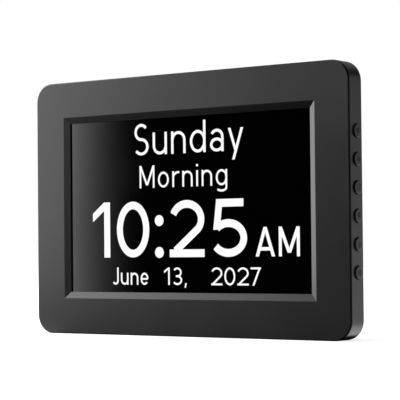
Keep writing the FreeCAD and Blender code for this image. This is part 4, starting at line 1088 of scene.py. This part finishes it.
def soft_light():
    """Each factor gives the shares of the card, along it or up it, between which it changes the light."""
    material, tree, glow = card_material("soft_light")
    along, up = card_spread(tree)
    fade = place_group(tree, edge_fade)["Fade"]
    outer = rising(tree, along, 0.0, 0.2)
    top = rising(tree, up, 0.9, 0.65)
    fuller = remap(tree, along, FULLER_FROM, FULLER_TO, 1.0, 1.18)
    raised = remap(tree, up, 0.13, 0.32, 1.0, 1.47, smooth=True)
    level = remap(tree, up, 0.035, 0.10, LEVEL_SHARE, 1.0)
    tree.links.new(product(tree, fade, outer, top, fuller, raised, level, CARD_LIGHT), glow.inputs["Strength"])
    return material


def floor_light(name, strength):
    material, tree, glow = card_material(name)
    along, _ = card_spread(tree)
    fade = place_group(tree, edge_fade)["Fade"]
    fuller = remap(tree, along, FULLER_FROM, FULLER_TO, 1.0, 1.4)
    tree.links.new(product(tree, fade, fuller, strength), glow.inputs["Strength"])
    return material


def front_glow():
    material, tree, glow = card_material("front_glow")
    along, up = card_spread(tree)
    ahead = product(tree, rising(tree, along, 0.243, 0.306), rising(tree, along, 0.49, 0.38), AHEAD_GLOW)
    above = product(tree, rising(tree, up, 0.11, 0.17), rising(tree, up, 0.5, 0.32),
                    rising(tree, along, 0.45, 0.3), ABOVE_GLOW)
    tree.links.new(math_node(tree, "MAXIMUM", ahead, above), glow.inputs["Strength"])
    return material


black = card_material("flag_black")[0]
print("light at", CARD_LIGHT, "and", AHEAD_GLOW, "in the front flag")

# %% [markdown]
# The soft light stands to the front left. Grey and black cards, called flags in a studio, stand in front, to the
# right and behind, so that the glass and the edges mirror little there. A side is a range of azimuths and a height
# is a range of elevations, both in degrees as the clock sees them.

# %% Stand the light and the flags
LIGHT_SIDE, LIGHT_HEIGHT = (-112, -37.5), (-2, 62)
FRONT_SIDE, FRONT_HEIGHT = (-40, 104), (-2, 78)
RIGHT_SIDE, RIGHT_HEIGHT, UPPER_RIGHT_HEIGHT = (104, 168), (-1, 18), (18, 78)
REAR_SIDE, REAR_HEIGHT = (168, 248), (2.5, 78)
SIDE_GLOW = 0.4
REAR_GLOW = 0.35

curved_card("soft_light_card", LIGHT_SIDE, LIGHT_HEIGHT, soft_light(), CARD_DISTANCE)
flags = [
    curved_card("front_flag", FRONT_SIDE, FRONT_HEIGHT, front_glow()),
    curved_card("side_flag", RIGHT_SIDE, RIGHT_HEIGHT, card_material("side_glow", SIDE_GLOW)[0]),
    curved_card("upper_side_flag", RIGHT_SIDE, UPPER_RIGHT_HEIGHT, black),
    curved_card("rear_flag", REAR_SIDE, REAR_HEIGHT, card_material("rear_glow", REAR_GLOW)[0])]
print("one soft light and", len(flags), "flags stand")

# %% [markdown]
# The floor is mirrored too. Black sheets lie in front of the clock and under it, and the one in front reaches a
# little way under the face, which keeps a thin black line below it. On the left, two rings of light carry the soft
# light on below the horizon, and a lit strip beside the right foot brightens the round lower corner of the side
# band. All flags and sheets are seen by reflections only, so they neither light the clock nor take light away.

# %% Lay the sheets on the floor
SHEET_LIFT = 0.02 * MM
FLAG_HALF = 1.6
FOOT_SIDE = 0.0965
FOOT_FRONT = cad_low.y + 2.5 * MM
FOOT_BACK = 0.05
STRIP_SIDE = 0.111
STRIP_BACK = 0.01
FOOT_LIGHT = 2.0
FAR_RING_SIDE, NEAR_RING_SIDE = (-112, -36), (-112, -60)
RING_START, RING_SPLIT = 0.10, 0.48
NEAR_FLOOR_LIGHT = 1.3

flags += [
    floor_sheet("floor_flag", (-FLAG_HALF, FLAG_HALF), (-CARD_DISTANCE, FOOT_FRONT), SHEET_LIFT, black),
    floor_sheet("foot_flag", (-FOOT_SIDE, FOOT_SIDE), (FOOT_FRONT, FOOT_BACK), SHEET_LIFT, black),
    floor_sheet("foot_light", (FOOT_SIDE, STRIP_SIDE), (FOOT_FRONT, STRIP_BACK), SHEET_LIFT,
                card_material("foot_light", FOOT_LIGHT)[0]),
    floor_ring("far_floor_light", FAR_RING_SIDE, (RING_SPLIT, CARD_DISTANCE), 2 * SHEET_LIFT,
               floor_light("far_floor_light", CARD_LIGHT * LEVEL_SHARE)),
    floor_ring("near_floor_light", NEAR_RING_SIDE, (RING_START, RING_SPLIT), 2 * SHEET_LIFT,
               floor_light("near_floor_light", NEAR_FLOOR_LIGHT))]
for flag in flags:
    flag.visible_diffuse = False
    flag.visible_transmission = False
print(len(flags), "flags and sheets are seen in reflections only")
